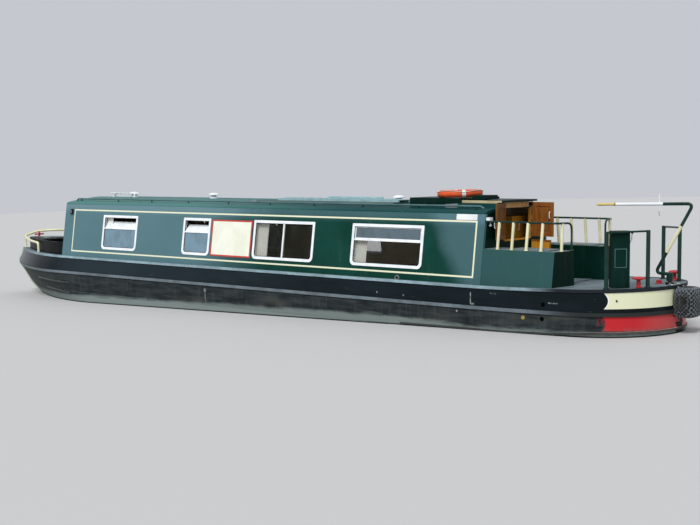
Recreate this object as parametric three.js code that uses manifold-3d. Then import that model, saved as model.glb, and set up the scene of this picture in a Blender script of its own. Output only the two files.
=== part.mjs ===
import * as THREE from 'three';
import { mergeVertices } from 'three/addons/utils/BufferGeometryUtils.js';
import Module from 'manifold-3d';

const wasm = await Module();
wasm.setup();

// driving sizes, millimetres; +X bow, +Y port, +Z up, baseplate underside at zero
const hullHalfBreadth = 1022;
const strakeProud = 18;
const hullWall = 30;
const hullFloor = 50;
const deckTop = 1220;
const deckThickness = 25;
const uxterLevel = 575;
const sternStart = -6000;
const sternLength = 1050;
const sternLowInset = 20;
const swimStart = -3900;
const swimLength = 2450;
const sheerStart = -4640;
const sheerRate = 0.050;
const touchGap = 0.4;

const cabinFront = 4590;
const cabinRear = -4630;
const cabinWall = 45;
const cabinBaseHalf = 923;
const tumblehome = 0.1475;
const creaseLevel = 2170;
const roofCrown = 2290;
const roofThickness = 40;
const floorLevel = 260;

const railTop = 2083;
const lockerTop = 1705;
const lockerCorner = -5720;
const lockerWall = 40;
const lockerInner = 455;
const coamingTop = 1455;
const coamingInset = 110;
const coamingWall = 35;
const foredeckStart = 5750;
const garageTop = 2372;

const stockX = -6910;
const shaftLevel = 300;
const propellerX = -6560;

// stem profile: level, tip, shoulder start and shoulder half breadth
const stemTable = [
  { z: 0, tip: 6000, shoulder: 2900, half: 1005 },
  { z: 120, tip: 6230, shoulder: 3100, half: 1022 },
  { z: 330, tip: 6545, shoulder: 3550, half: 1022 },
  { z: 530, tip: 6860, shoulder: 3900, half: 1022 },
  { z: 720, tip: 7060, shoulder: 4300, half: 1022 },
  { z: 910, tip: 7280, shoulder: 4750, half: 1022 },
  { z: 980, tip: 7290, shoulder: 4800, half: 1022 },
  { z: 1080, tip: 7205, shoulder: 4700, half: 1005 },
  { z: deckTop, tip: 7125, shoulder: 4550, half: 970 },
];

const windowTable = [
  { id: 1, x0: 2520, x1: 3455, style: 'hopperOpen' },
  { id: 2, x0: 680, x1: 1330, style: 'hopper' },
  { id: 3, x0: -1595, x1: -320, style: 'slider' },
  { id: 4, x0: -3635, x1: -2343, style: 'hopper' },
];
const windowLow = 1385;
const windowHigh = 1987;
const windowFrame = 40;
const windowRadius = 75;

const paint = {
  black: new THREE.MeshStandardMaterial({ name: 'black_paint', color: 0x16171a, roughness: 0.5 }),
  green: new THREE.MeshStandardMaterial({ name: 'green_paint', color: 0x0d3a31, roughness: 0.35 }),
  cream: new THREE.MeshStandardMaterial({ name: 'cream_paint', color: 0xe9e2b4, roughness: 0.45 }),
  red: new THREE.MeshStandardMaterial({ name: 'red_paint', color: 0xb01f22, roughness: 0.45 }),
  grey: new THREE.MeshStandardMaterial({ name: 'grey_paint', color: 0x8a8f92, roughness: 0.7 }),
  white: new THREE.MeshStandardMaterial({ name: 'white_paint', color: 0xeeeeee, roughness: 0.4 }),
  wood: new THREE.MeshStandardMaterial({ name: 'varnished_wood', color: 0x8a4a1c, roughness: 0.5 }),
  glass: new THREE.MeshStandardMaterial({
    name: 'window_glass', color: 0x333a3c, roughness: 0.05, metalness: 0.1,
  }),
  bronze: new THREE.MeshStandardMaterial({ name: 'bronze', color: 0xa9823c, roughness: 0.4, metalness: 0.9 }),
  iron: new THREE.MeshStandardMaterial({
    name: 'engine_iron', color: 0x39444a, roughness: 0.7, metalness: 0.4,
  }),
  rope: new THREE.MeshStandardMaterial({ name: 'fender_rope', color: 0x23262d, roughness: 0.95 }),
  orange: new THREE.MeshStandardMaterial({ name: 'lifebuoy_orange', color: 0xe2551d, roughness: 0.5 }),
  ply: new THREE.MeshStandardMaterial({ name: 'floor_ply', color: 0x8d6a45, roughness: 0.8 }),
};

const group = new THREE.Group();
group.name = 'narrowboat';

// solid helpers
function outward(geometry) {
  const p = geometry.attributes.position;
  const index = geometry.index;
  const a = new THREE.Vector3();
  const b = new THREE.Vector3();
  const c = new THREE.Vector3();
  let volume = 0;
  for (let i = 0; i < index.count; i += 3) {
    a.fromBufferAttribute(p, index.getX(i));
    b.fromBufferAttribute(p, index.getX(i + 1));
    c.fromBufferAttribute(p, index.getX(i + 2));
    volume += a.dot(b.cross(c));
  }
  if (volume < 0) {
    const flipped = [];
    for (let i = 0; i < index.count; i += 3) {
      flipped.push(index.getX(i), index.getX(i + 2), index.getX(i + 1));
    }
    geometry.setIndex(flipped);
  }
  return geometry;
}

function tidy(geometry) {
  const bare = new THREE.BufferGeometry();
  bare.setAttribute('position', geometry.attributes.position.clone());
  if (geometry.index) bare.setIndex(geometry.index.clone());
  return outward(mergeVertices(bare, 1e-3));
}

function toSolid(geometry) {
  const g = tidy(geometry);
  return new wasm.Manifold(new wasm.Mesh({
    numProp: 3,
    vertProperties: new Float32Array(g.attributes.position.array),
    triVerts: new Uint32Array(g.index.array),
  }));
}

function toGeometry(solid) {
  const m = solid.getMesh();
  const g = new THREE.BufferGeometry();
  g.setAttribute('position', new THREE.BufferAttribute(new Float32Array(m.vertProperties), 3));
  g.setIndex(new THREE.BufferAttribute(new Uint32Array(m.triVerts), 1));
  return g;
}

function joined(list) {
  let s = toSolid(list[0]);
  for (const g of list.slice(1)) s = s.add(toSolid(g));
  return toGeometry(s);
}

function carved(base, cuts) {
  let s = toSolid(base);
  for (const g of cuts) s = s.subtract(toSolid(g));
  return toGeometry(s);
}

function addNode(name, geometry, material) {
  const g = geometry.index ? geometry.toNonIndexed() : geometry;
  g.computeVertexNormals();
  const mesh = new THREE.Mesh(g, material);
  mesh.name = name;
  group.add(mesh);
  return mesh;
}

// shape helpers
function box(x0, x1, y0, y1, z0, z1) {
  const g = new THREE.BoxGeometry(x1 - x0, y1 - y0, z1 - z0);
  g.translate((x0 + x1) / 2, (y0 + y1) / 2, (z0 + z1) / 2);
  return g;
}

function rodX(x0, x1, y, z, r, n = 16) {
  const g = new THREE.CylinderGeometry(r, r, x1 - x0, n);
  g.rotateZ(Math.PI / 2);
  g.translate((x0 + x1) / 2, y, z);
  return g;
}

function rodZ(x, y, z0, z1, r, n = 16, rTop = r) {
  const g = new THREE.CylinderGeometry(rTop, r, z1 - z0, n);
  g.rotateX(Math.PI / 2);
  g.translate(x, y, (z0 + z1) / 2);
  return g;
}

function turned(profile, x, y, z, n = 24) {
  const g = new THREE.LatheGeometry(profile.map(([r, h]) => new THREE.Vector2(r, h)), n);
  g.rotateX(Math.PI / 2);
  g.translate(x, y, z);
  return g;
}

function loft(rings, caps = capFaces) {
  const n = rings[0].length;
  const flat = [];
  for (const ring of rings) for (const p of ring) flat.push(p.x, p.y, p.z);
  const faces = [];
  for (let k = 0; k < rings.length - 1; k += 1) {
    for (let i = 0; i < n; i += 1) {
      const j = (i + 1) % n;
      faces.push(k * n + i, k * n + j, (k + 1) * n + j);
      faces.push(k * n + i, (k + 1) * n + j, (k + 1) * n + i);
    }
  }
  const last = (rings.length - 1) * n;
  for (const t of caps(rings[0])) faces.push(t[0], t[2], t[1]);
  for (const t of caps(rings[rings.length - 1])) faces.push(last + t[0], last + t[1], last + t[2]);
  const g = new THREE.BufferGeometry();
  g.setAttribute('position', new THREE.Float32BufferAttribute(flat, 3));
  g.setIndex(faces);
  return g;
}

// caps are cut in the plane the ring is widest in
function capFaces(ring) {
  const size = new THREE.Box3().setFromPoints(ring).getSize(new THREE.Vector3());
  let flat = ring.map((p) => new THREE.Vector2(p.x, p.y));
  const upright = size.z > Math.min(size.x, size.y);
  if (upright && size.x < size.y) flat = ring.map((p) => new THREE.Vector2(p.y, p.z));
  if (upright && size.y < size.x) flat = ring.map((p) => new THREE.Vector2(p.z, p.x));
  const clockwise = THREE.ShapeUtils.isClockWise(flat);
  const order = flat.map((p, i) => i);
  if (clockwise) order.reverse();
  const faces = THREE.ShapeUtils.triangulateShape(order.map((i) => flat[i]), []);
  return faces.map(([a, b, c]) => {
    const t = [order[a], order[b], order[c]];
    return clockwise ? [t[0], t[2], t[1]] : t;
  });
}

// outline and holes as [a, b] pairs; put(a, b, depth) returns the place of each corner
function slab(outline, holes, depth, put) {
  const shape = new THREE.Shape(outline.map(([a, b]) => new THREE.Vector2(a, b)));
  for (const h of holes) shape.holes.push(new THREE.Path(h.map(([a, b]) => new THREE.Vector2(a, b))));
  const g = new THREE.ExtrudeGeometry(shape, { depth, bevelEnabled: false, curveSegments: 6 });
  const p = g.attributes.position;
  for (let i = 0; i < p.count; i += 1) {
    const q = put(p.getX(i), p.getY(i), p.getZ(i));
    p.setXYZ(i, q[0], q[1], q[2]);
  }
  return g;
}

function slabXZ(outline, holes, y0, y1) {
  return slab(outline, holes, y1 - y0, (a, b, d) => [a, y0 + d, b]);
}

function slabYZ(outline, holes, x0, x1) {
  return slab(outline, holes, x1 - x0, (a, b, d) => [x0 + d, a, b]);
}

function slabXY(outline, holes, z0, z1) {
  return slab(outline, holes, z1 - z0, (a, b, d) => [a, b, z0 + d]);
}

// round bar along a list of points, with rounded corners
function bar(points, r, sides = 10, bend = 0) {
  const path = bend > 0 ? rounded(points, bend) : points.map((p) => new THREE.Vector3(...p));
  const rings = [];
  let side = null;
  for (let i = 0; i < path.length; i += 1) {
    const before = path[Math.max(i - 1, 0)];
    const after = path[Math.min(i + 1, path.length - 1)];
    const dir = after.clone().sub(before).normalize();
    if (!side) {
      side = Math.abs(dir.z) < 0.9 ? new THREE.Vector3(0, 0, 1) : new THREE.Vector3(1, 0, 0);
    }
    side = side.clone().sub(dir.clone().multiplyScalar(side.dot(dir))).normalize();
    const other = dir.clone().cross(side);
    const ring = [];
    for (let k = 0; k < sides; k += 1) {
      const a = (2 * Math.PI * k) / sides;
      ring.push(path[i].clone()
        .add(side.clone().multiplyScalar(r * Math.cos(a)))
        .add(other.clone().multiplyScalar(r * Math.sin(a))));
    }
    rings.push(ring);
  }
  return sweep(rings);
}

function sweep(rings) {
  const n = rings[0].length;
  const flat = [];
  for (const ring of rings) for (const p of ring) flat.push(p.x, p.y, p.z);
  const first = new THREE.Vector3();
  const end = new THREE.Vector3();
  for (const p of rings[0]) first.add(p);
  for (const p of rings[rings.length - 1]) end.add(p);
  first.divideScalar(n);
  end.divideScalar(n);
  flat.push(first.x, first.y, first.z, end.x, end.y, end.z);
  const faces = [];
  for (let k = 0; k < rings.length - 1; k += 1) {
    for (let i = 0; i < n; i += 1) {
      const j = (i + 1) % n;
      faces.push(k * n + i, k * n + j, (k + 1) * n + j);
      faces.push(k * n + i, (k + 1) * n + j, (k + 1) * n + i);
    }
  }
  const a = rings.length * n;
  const last = (rings.length - 1) * n;
  for (let i = 0; i < n; i += 1) {
    const j = (i + 1) % n;
    faces.push(a, j, i);
    faces.push(a + 1, last + i, last + j);
  }
  const g = new THREE.BufferGeometry();
  g.setAttribute('position', new THREE.Float32BufferAttribute(flat, 3));
  g.setIndex(faces);
  return g;
}

function rounded(points, radius) {
  const v = points.map((p) => new THREE.Vector3(...p));
  const out = [v[0]];
  for (let i = 1; i < v.length - 1; i += 1) {
    const back = v[i - 1].clone().sub(v[i]);
    const ahead = v[i + 1].clone().sub(v[i]);
    const r = Math.min(radius, back.length() * 0.45, ahead.length() * 0.45);
    const a = v[i].clone().add(back.normalize().multiplyScalar(r));
    const b = v[i].clone().add(ahead.normalize().multiplyScalar(r));
    for (const t of [0, 0.25, 0.5, 0.75, 1]) {
      const p = a.clone().multiplyScalar((1 - t) * (1 - t));
      p.add(v[i].clone().multiplyScalar(2 * t * (1 - t)));
      p.add(b.clone().multiplyScalar(t * t));
      out.push(p);
    }
  }
  out.push(v[v.length - 1]);
  return out;
}

function roundedRect(x0, x1, z0, z1, rLow, rHigh, steps = 4) {
  const pts = [];
  const corner = (cx, cz, r, from) => {
    if (r < 1) {
      pts.push([cx, cz]);
      return;
    }
    for (let i = 0; i <= steps; i += 1) {
      const a = from + (Math.PI / 2) * (i / steps);
      pts.push([cx + r * Math.cos(a), cz + r * Math.sin(a)]);
    }
  };
  corner(x0 + rLow, z0 + rLow, rLow, Math.PI);
  corner(x1 - rLow, z0 + rLow, rLow, 1.5 * Math.PI);
  corner(x1 - rHigh, z1 - rHigh, rHigh, 0);
  corner(x0 + rHigh, z1 - rHigh, rHigh, 0.5 * Math.PI);
  return pts;
}

function mirrored(geometry) {
  const g = tidy(geometry);
  g.scale(1, -1, 1);
  return outward(g);
}

// hull form
function stemAt(z) {
  let i = 0;
  while (i < stemTable.length - 2 && z > stemTable[i + 1].z) i += 1;
  const lo = stemTable[i];
  const hi = stemTable[i + 1];
  const t = (z - lo.z) / (hi.z - lo.z);
  const mix = (key) => lo[key] + (hi[key] - lo[key]) * t;
  return { tip: mix('tip'), shoulder: mix('shoulder'), half: mix('half') };
}

function smooth(t) {
  const s = Math.min(Math.max(t, 0), 1);
  return s * s * (3 - 2 * s);
}

function bowHalf(x, z, grow) {
  const s = stemAt(z);
  const narrow = smooth((x - (s.shoulder - 1300)) / 1300);
  const half = hullHalfBreadth + (s.half - hullHalfBreadth) * narrow + grow;
  if (x <= s.shoulder) return half;
  const t = (x - s.shoulder) / (s.tip + grow - s.shoulder);
  return half * (1 - Math.min(t, 1) ** 1.65);
}

function counterHalf(x, z, grow) {
  const low = smooth((760 - z) / 200);
  const half = hullHalfBreadth - 24 * low + grow;
  const length = sternLength - sternLowInset * low + grow;
  if (x >= sternStart) return half;
  const t = Math.min((sternStart - x) / length, 1);
  return half * Math.sqrt(Math.max(1 - t ** 2.1, 0));
}

function swimHalf(x, z, grow) {
  const half = (z < 60 ? 1005 : hullHalfBreadth) + grow;
  if (x >= swimStart) return half;
  const t = Math.min((swimStart - x) / swimLength, 1);
  return Math.max(half * (1 - t ** 1.7), 34 + grow);
}

function sheer(x) {
  if (x >= sheerStart) return 0;
  return sheerRate * 1000 * ((sheerStart - x) / 1790) ** 1.5;
}

function lift(x, z) {
  return z + sheer(x) * Math.max((z - uxterLevel) / (deckTop - uxterLevel), 0);
}

// places along the hull, close together where the plan curves
function stations(from, to, part) {
  const list = [];
  const count = 18;
  for (let i = 0; i <= count; i += 1) {
    const t = i / count;
    const s = part === 'bow' ? 1 - (1 - t) ** 1.35 : t;
    list.push(from + (to - from) * s);
  }
  return list;
}

function hullRing(z, grow, kind) {
  const stem = stemAt(z);
  const tip = stem.tip + grow;
  const bow = stations(stem.shoulder, tip, 'bow');
  const mid = [-3900, -2000, 0, 2000];
  const stern = [];
  if (kind === 'upper') {
    const low = smooth((760 - z) / 200);
    const length = sternLength - sternLowInset * low + grow;
    for (let i = 0; i <= 14; i += 1) stern.push(sternStart - length * Math.sin((Math.PI / 2) * (i / 14)));
    stern.reverse();
    stern.push(-5600, -5200, -4900, sheerStart);
  } else {
    for (let i = 0; i <= 14; i += 1) stern.push(swimStart - 20 - (swimLength + grow) * (1 - i / 14));
  }
  const xs = [...stern, ...mid, ...bow];
  const port = xs.map((x) => {
    const aft = kind === 'upper' ? counterHalf(x, z, grow) : swimHalf(x, z, grow);
    const y = Math.max(Math.min(aft, bowHalf(x, z, grow)), 8);
    return new THREE.Vector3(x, y, kind === 'upper' ? lift(x, z) : z);
  });
  const starboard = port.map((p) => new THREE.Vector3(p.x, -p.y, p.z)).reverse();
  return [...port, ...starboard];
}

// decks run straight across from port to starboard
function acrossFaces(ring) {
  const n = ring.length;
  const faces = [];
  for (let i = 0; i < n / 2 - 1; i += 1) {
    faces.push([i, i + 1, n - 2 - i], [i, n - 2 - i, n - 1 - i]);
  }
  return faces;
}

function hullBody(levels, grow, kind) {
  return loft(levels.map((z) => hullRing(z, grow, kind)), acrossFaces);
}

const lowerLevels = [0, 60, 120, 330, uxterLevel + 4];
const upperLevels = [uxterLevel, 640, 720, 800, 910, 980, 1080, deckTop];

const hullOuter = toSolid(hullBody(lowerLevels, 0, 'lower')).add(toSolid(hullBody(upperLevels, 0, 'upper')));
const hullInnerLow = toSolid(hullBody([hullFloor, 120, 330, uxterLevel + 34], -hullWall, 'lower'));
const innerLevels = [uxterLevel + 30, 720, 910, 980, 1080, deckTop - deckThickness];
const hullInnerHigh = toSolid(hullBody(innerLevels, -hullWall, 'upper'));
// half plan from the bow tip side, mirrored into one outline
function bothSides(xs, halfAt) {
  const port = xs.map((x) => [x, halfAt(x)]);
  return [...port, ...port.map(([x, y]) => [x, -y]).reverse()];
}
const wellXs = [4600, 4800, 5000, 5200, 5400, 5600, foredeckStart];
const wellEdge = bothSides(wellXs, (x) => bowHalf(x, deckTop, 0) - 150);
const cabinEdge = box(cabinRear + cabinWall + 6, cabinFront - 60, -850, 850, deckTop - 80, deckTop + 120);
const wellJoint = box(cabinFront - 70, 4610, -800, 800, deckTop - 80, deckTop + 120);
const lockerPlan = [[5975, -270], [6375, -140], [6375, 140], [5975, 270]];
const lockerOpening = slabXY(lockerPlan, [], deckTop - 80, deckTop + 60);
const engineOpening = box(-5575, -4975, -385, 385, deckTop - 80, deckTop + 120);

// thin guards fixed on the plating: four-cornered bar along a line of hull points
function strip(line, half, proud, depth) {
  const rings = line.map((p, i) => {
    const before = line[Math.max(i - 1, 0)];
    const after = line[Math.min(i + 1, line.length - 1)];
    const along = new THREE.Vector2(after[0] - before[0], after[1] - before[1]).normalize();
    const corner = (out, up) => new THREE.Vector3(p[0] + along.y * out, p[1] - along.x * out, p[2] + up);
    return [corner(-depth, -half), corner(proud, -half), corner(proud, half), corner(-depth, half)];
  });
  return sweep(rings);
}
function levelAt(table, x) {
  let i = 0;
  while (i < table.length - 2 && x < table[i + 1][0]) i += 1;
  const [x0, z0] = table[i];
  const [x1, z1] = table[i + 1];
  return z0 + ((z1 - z0) * (x - x0)) / (x1 - x0);
}
const counterGuardTable = [
  [-3350, 617], [-4250, 632], [-5050, 640], [-5750, 673], [-6450, 728], [-7045, 745],
];
const counterGuardEnd = sternStart - sternLength + sternLowInset * 0.05;
const counterGuardXs = [-3350, -3800, -4250, -4650, -5050, -5400, -5750, sternStart];
for (let i = 1; i <= 12; i += 1) {
  counterGuardXs.push(sternStart + (counterGuardEnd - sternStart) * Math.sin((Math.PI / 2) * (i / 12)));
}
const counterGuardPort = counterGuardXs.map((x) => {
  const z = levelAt(counterGuardTable, x);
  return [x, counterHalf(x, z - sheer(x) * 0.25, 0), z];
});
counterGuardPort[counterGuardPort.length - 1][1] = 0;
const counterGuard = strip([
  ...counterGuardPort, ...counterGuardPort.slice(0, -1).map(([x, y, z]) => [x, -y, z]).reverse(),
], 13, 16, 12);
function bowGuard(xFore, xAft, zFore, zAft) {
  const line = [];
  for (let i = 0; i <= 10; i += 1) {
    const x = xFore + ((xAft - xFore) * i) / 10;
    const z = zFore + ((zAft - zFore) * i) / 10;
    line.push([x, bowHalf(x, z, 0), z]);
  }
  return strip(line, 14, 14, 12);
}
const bowGuards = [bowGuard(5535, 4250, 760, 735), bowGuard(5270, 4250, 590, 550)];
function stemBar(r) {
  const levels = [330, 430, 530, 720, 910, 980, 1080, 1208];
  return bar(levels.map((z) => [stemAt(z).tip - 12, 0, z]), r, 12);
}
const gunwaleOuter = toSolid(hullBody([1188, 1224], 14, 'upper'));
const gunwaleEdge = gunwaleOuter.subtract(toSolid(hullBody([1180, 1240], -26, 'upper')));

const sternTube = rodX(-6490, -6290, 0, shaftLevel, 48, 18);
const skegBar = box(-6990, -6150, -30, 30, 0, 40);
const skegCup = box(-6990, -6850, -50, 50, 0, 48);
const stockTube = rodZ(stockX, 0, uxterLevel - 10, 1320, 55, 20);
const stockHole = rodZ(stockX, 0, uxterLevel - 60, 1500, 31, 20);
const hull = hullOuter
  .add(toSolid(stemBar(24))).add(toSolid(counterGuard))
  .add(toSolid(bowGuards[0])).add(toSolid(bowGuards[1]))
  .add(toSolid(mirrored(bowGuards[0]))).add(toSolid(mirrored(bowGuards[1])))
  .subtract(hullInnerLow).subtract(hullInnerHigh)
  .subtract(toSolid(slabXY(wellEdge, [], deckTop - 80, deckTop + 120)))
  .subtract(toSolid(cabinEdge)).subtract(toSolid(wellJoint))
  .subtract(toSolid(lockerOpening)).subtract(toSolid(engineOpening))
  .add(gunwaleEdge)
  .add(toSolid(sternTube)).add(toSolid(skegBar)).add(toSolid(skegCup))
  .add(toSolid(stockTube)).subtract(toSolid(stockHole));
addNode('hull', toGeometry(hull), paint.black);

// middle rubbing strake, round the whole hull from one side of the stem bar to the other
function strakeRing(zLow, zHigh, proud) {
  const outer = hullBody([zLow, zHigh], proud, 'upper');
  const stemRoom = box(7255, 7400, -45, 45, zLow - 40, zHigh + 40);
  return carved(outer, [hullBody(upperLevels, touchGap, 'upper'), stemBar(24 + touchGap), stemRoom]);
}
addNode('middle_strake', strakeRing(905, 950, strakeProud), paint.black);

// cabin
function sideY(z) {
  return cabinBaseHalf - tumblehome * (z - deckTop);
}

function leaned(outline, holes, inset, thickness) {
  return slab(outline, holes, thickness, (a, b, d) => [a, sideY(b) - inset - d, b]);
}

const sideOutline = [
  [cabinRear, deckTop + touchGap], [cabinFront, deckTop + touchGap],
  [cabinFront, creaseLevel - 2], [cabinRear, creaseLevel - 2],
];
const windowHoles = windowTable.map((w) => roundedRect(w.x0, w.x1, windowLow, windowHigh, windowRadius, 12));
const sidePanel = leaned(sideOutline, windowHoles, 0, cabinWall);
addNode('cabin_side_port', tidy(sidePanel), paint.green);
addNode('cabin_side_starboard', mirrored(sidePanel), paint.green);

const roofOuter = [
  [783, 2169], [779, 2186], [752, 2204], [700, 2216], [526, 2240], [300, 2269], [120, 2286], [0, roofCrown],
];
const roofInner = roofOuter.slice(3).map(([y, z]) => [y, z - roofThickness]);
const roofHalf = [...roofOuter.map(([y, z]) => [y, z])];
const roofOutline = [
  ...roofHalf,
  ...roofHalf.slice(0, -1).reverse().map(([y, z]) => [-y, z]),
  [-738, 2169],
  ...roofInner.map(([y, z]) => [-y, z]),
  ...roofInner.slice(0, -1).reverse(),
  [738, 2169],
];
const garageRear = -4040;
const garageFront = -3150;
const garageHalf = 500;
const hatchOpening = box(cabinRear - 10, garageRear - 60, -350, 350, 2100, 2300);
const garage = box(garageRear, garageFront, -garageHalf, garageHalf, 2238, garageTop);
const garageWall = 18;
const garageInner = garageHalf - garageWall;
const garageCeiling = garageTop - garageWall;
const garageHollow = box(garageRear - 20, garageFront - 25, -garageInner, garageInner, 2296, garageCeiling);
const buoyShelf = box(-4390, garageRear + 20, 100, 400, garageCeiling - 2, garageTop - 1);
const buoyCradle = box(-4390, -4160, 100, 400, garageCeiling - 2, 2412);
const coamingPort = box(cabinRear + 16, garageRear + 5, 466, garageHalf, 2238, 2300);
const coamingStarboard = box(cabinRear + 16, garageRear + 5, -garageHalf, -466, 2238, 2300);
const roofShell = toSolid(slabYZ(roofOutline, [], cabinRear, cabinFront))
  .add(toSolid(garage)).subtract(toSolid(garageHollow))
  .add(toSolid(buoyShelf)).add(toSolid(buoyCradle))
  .add(toSolid(coamingPort)).add(toSolid(coamingStarboard))
  .subtract(toSolid(hatchOpening));
addNode('roof', toGeometry(roofShell), paint.green);

function bulkheadOutline(low, half, lowHalf) {
  const gap = 1;
  const under = roofThickness + gap;
  const z = creaseLevel - 6;
  const wall = cabinWall + gap;
  return [
    [-lowHalf, low], [lowHalf, low], [lowHalf, deckTop + gap], [sideY(deckTop) - wall, deckTop + gap],
    [sideY(z) - wall, z],
    [700, 2215 - under], [526, 2240 - under], [300, 2269 - under],
    [0, roofCrown - under],
    [-300, 2269 - under], [-526, 2240 - under], [-700, 2215 - under],
    [-sideY(z) + wall, z], [-sideY(deckTop) + wall, deckTop + gap], [-lowHalf, deckTop + gap],
  ];
}
const wellFloor = 860;
const frontBulkhead = slabYZ(bulkheadOutline(wellFloor + 1, 0, 790), [], cabinFront - cabinWall, cabinFront);
const frontDoorway = box(cabinFront - 100, cabinFront + 20, -300, 300, 930, 2120);
addNode('front_bulkhead', carved(frontBulkhead, [frontDoorway]), paint.green);

const rearSill = 1790;
const rearShape = bulkheadOutline(deckTop + 1, 0, sideY(deckTop) - cabinWall - 1);
const rearBulkhead = slabYZ(rearShape, [], cabinRear, cabinRear + cabinWall);
const rearDoorway = box(cabinRear - 20, cabinRear + 100, -375, 305, rearSill, 2400);
addNode('rear_bulkhead', carved(rearBulkhead, [rearDoorway]), paint.green);

addNode('cabin_floor', joined([
  slabXY([
    [-4560, -830], [-3600, -920], [3200, -920], [4530, -700],
    [4530, 700], [3200, 920], [-3600, 920], [-4560, 830],
  ], [], floorLevel, floorLevel + 25),
  box(-4300, 3300, -740, -680, hullFloor + 1, floorLevel + 5),
  box(-4300, 3300, 680, 740, hullFloor + 1, floorLevel + 5),
]), paint.ply);

const wellPlate = slabXY([
  [4600, -905], [4900, -880], [5300, -740], [5740, -560], [5740, 560], [5300, 740], [4900, 880], [4600, 905],
], [], wellFloor - 25, wellFloor);
addNode('well_floor', tidy(wellPlate), paint.grey);

// windows
function windowUnit(w) {
  const edge = touchGap;
  const outer = roundedRect(w.x0 + edge, w.x1 - edge, windowLow + edge, windowHigh - edge, windowRadius, 12);
  const inner = roundedRect(
    w.x0 + windowFrame, w.x1 - windowFrame, windowLow + windowFrame, windowHigh - windowFrame,
    windowRadius - windowFrame + 8, 6,
  );
  const barLow = w.style === 'slider' ? null : windowLow + (windowHigh - windowLow) * 0.6;
  const frame = slab(outer, [inner], 36, (a, b, d) => [a, sideY(b) + 8 - d, b]);
  const parts = [frame];
  if (barLow) {
    const strip = roundedRect(w.x0 + 20, w.x1 - 20, barLow, barLow + 22, 0, 0);
    parts.push(slab(strip, [], 24, (a, b, d) => [a, sideY(b) + 4 - d, b]));
  } else {
    const mid = (w.x0 + w.x1) / 2;
    const post = roundedRect(mid - 14, mid + 14, windowLow + 20, windowHigh - 20, 0, 0);
    parts.push(slab(post, [], 24, (a, b, d) => [a, sideY(b) + 4 - d, b]));
  }
  const pane = roundedRect(w.x0 + 25, w.x1 - 25, windowLow + 25, windowHigh - 25, windowRadius - 10, 6);
  parts.push(slab(pane, [], 6, (a, b, d) => [a, sideY(b) - 10 - d, b]));
  return joined(parts);
}
for (const w of windowTable) {
  const unit = windowUnit(w);
  addNode(`window_port_${w.id}`, unit, paint.glass);
  addNode(`window_starboard_${w.id}`, mirrored(unit), paint.glass);
}

// handrails along the roof
const handrailY = 618;
const handrailZ = 2267;
const handrailFoot = 2241;
const standoffXs = [4350, 3290, 2380, 1440, 470, -470, -1410, -2370, -3390, -4370];
function handrail() {
  const parts = [bar([
    [4490, handrailY, handrailFoot], [4440, handrailY, handrailZ],
    [-4450, handrailY, handrailZ], [-4500, handrailY, handrailFoot],
  ], 13, 8, 50)];
  for (const x of standoffXs) parts.push(rodZ(x, handrailY, 2229.6, handrailZ, 9, 8));
  return joined(parts);
}
const portHandrail = handrail();
addNode('handrail_port', portHandrail, paint.green);
addNode('handrail_starboard', mirrored(portHandrail), paint.green);

// rear hatch and doors
const hatchHalf = 474;
const hatchLow = 2316;
addNode('sliding_hatch', joined([
  box(-4690, -4020, -hatchHalf, hatchHalf, hatchLow, hatchLow + 27),
  box(cabinRear + 10, -4020, hatchHalf - 19, hatchHalf, hatchLow - 11, hatchLow + 2),
  box(cabinRear + 10, -4020, -hatchHalf, -hatchHalf + 19, hatchLow - 11, hatchLow + 2),
  box(cabinRear - 1, cabinRear + 18, -338, 338, 2236, hatchLow + 30),
]), paint.green);

const rearLeaf = { low: 1815, high: 2302, thickness: 28 };
const rearHingeX = cabinRear - 22;
const rearPort = { y: 325, width: 360, angle: 103 };
const rearStarboard = { y: -395, width: 340, angle: 182 };
function doorLeaf(hingeX, hingeY, width, low, high, thickness, angle) {
  const g = box(6, width, -thickness / 2, thickness / 2, low, high);
  g.rotateZ((angle * Math.PI) / 180);
  g.translate(hingeX, hingeY, 0);
  const barrel = rodZ(hingeX, hingeY, low + 30, high - 30, 9, 10);
  return joined([g, barrel]);
}
function rearDoor(side) {
  const leaf = rearLeaf;
  return doorLeaf(rearHingeX, side.y, side.width, leaf.low, leaf.high, leaf.thickness, side.angle);
}
addNode('rear_door_port', rearDoor(rearPort), paint.wood);
addNode('rear_door_starboard', rearDoor(rearStarboard), paint.wood);

const frontLeaf = { width: 304, low: 925, high: 2125, thickness: 28 };
const frontHingeX = cabinFront + 20;
function frontDoor(y, angle) {
  return doorLeaf(frontHingeX, y, frontLeaf.width, frontLeaf.low, frontLeaf.high, frontLeaf.thickness, angle);
}
addNode('front_door_port', frontDoor(310, -90), paint.wood);
addNode('front_door_starboard', frontDoor(-310, 90), paint.wood);

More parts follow.
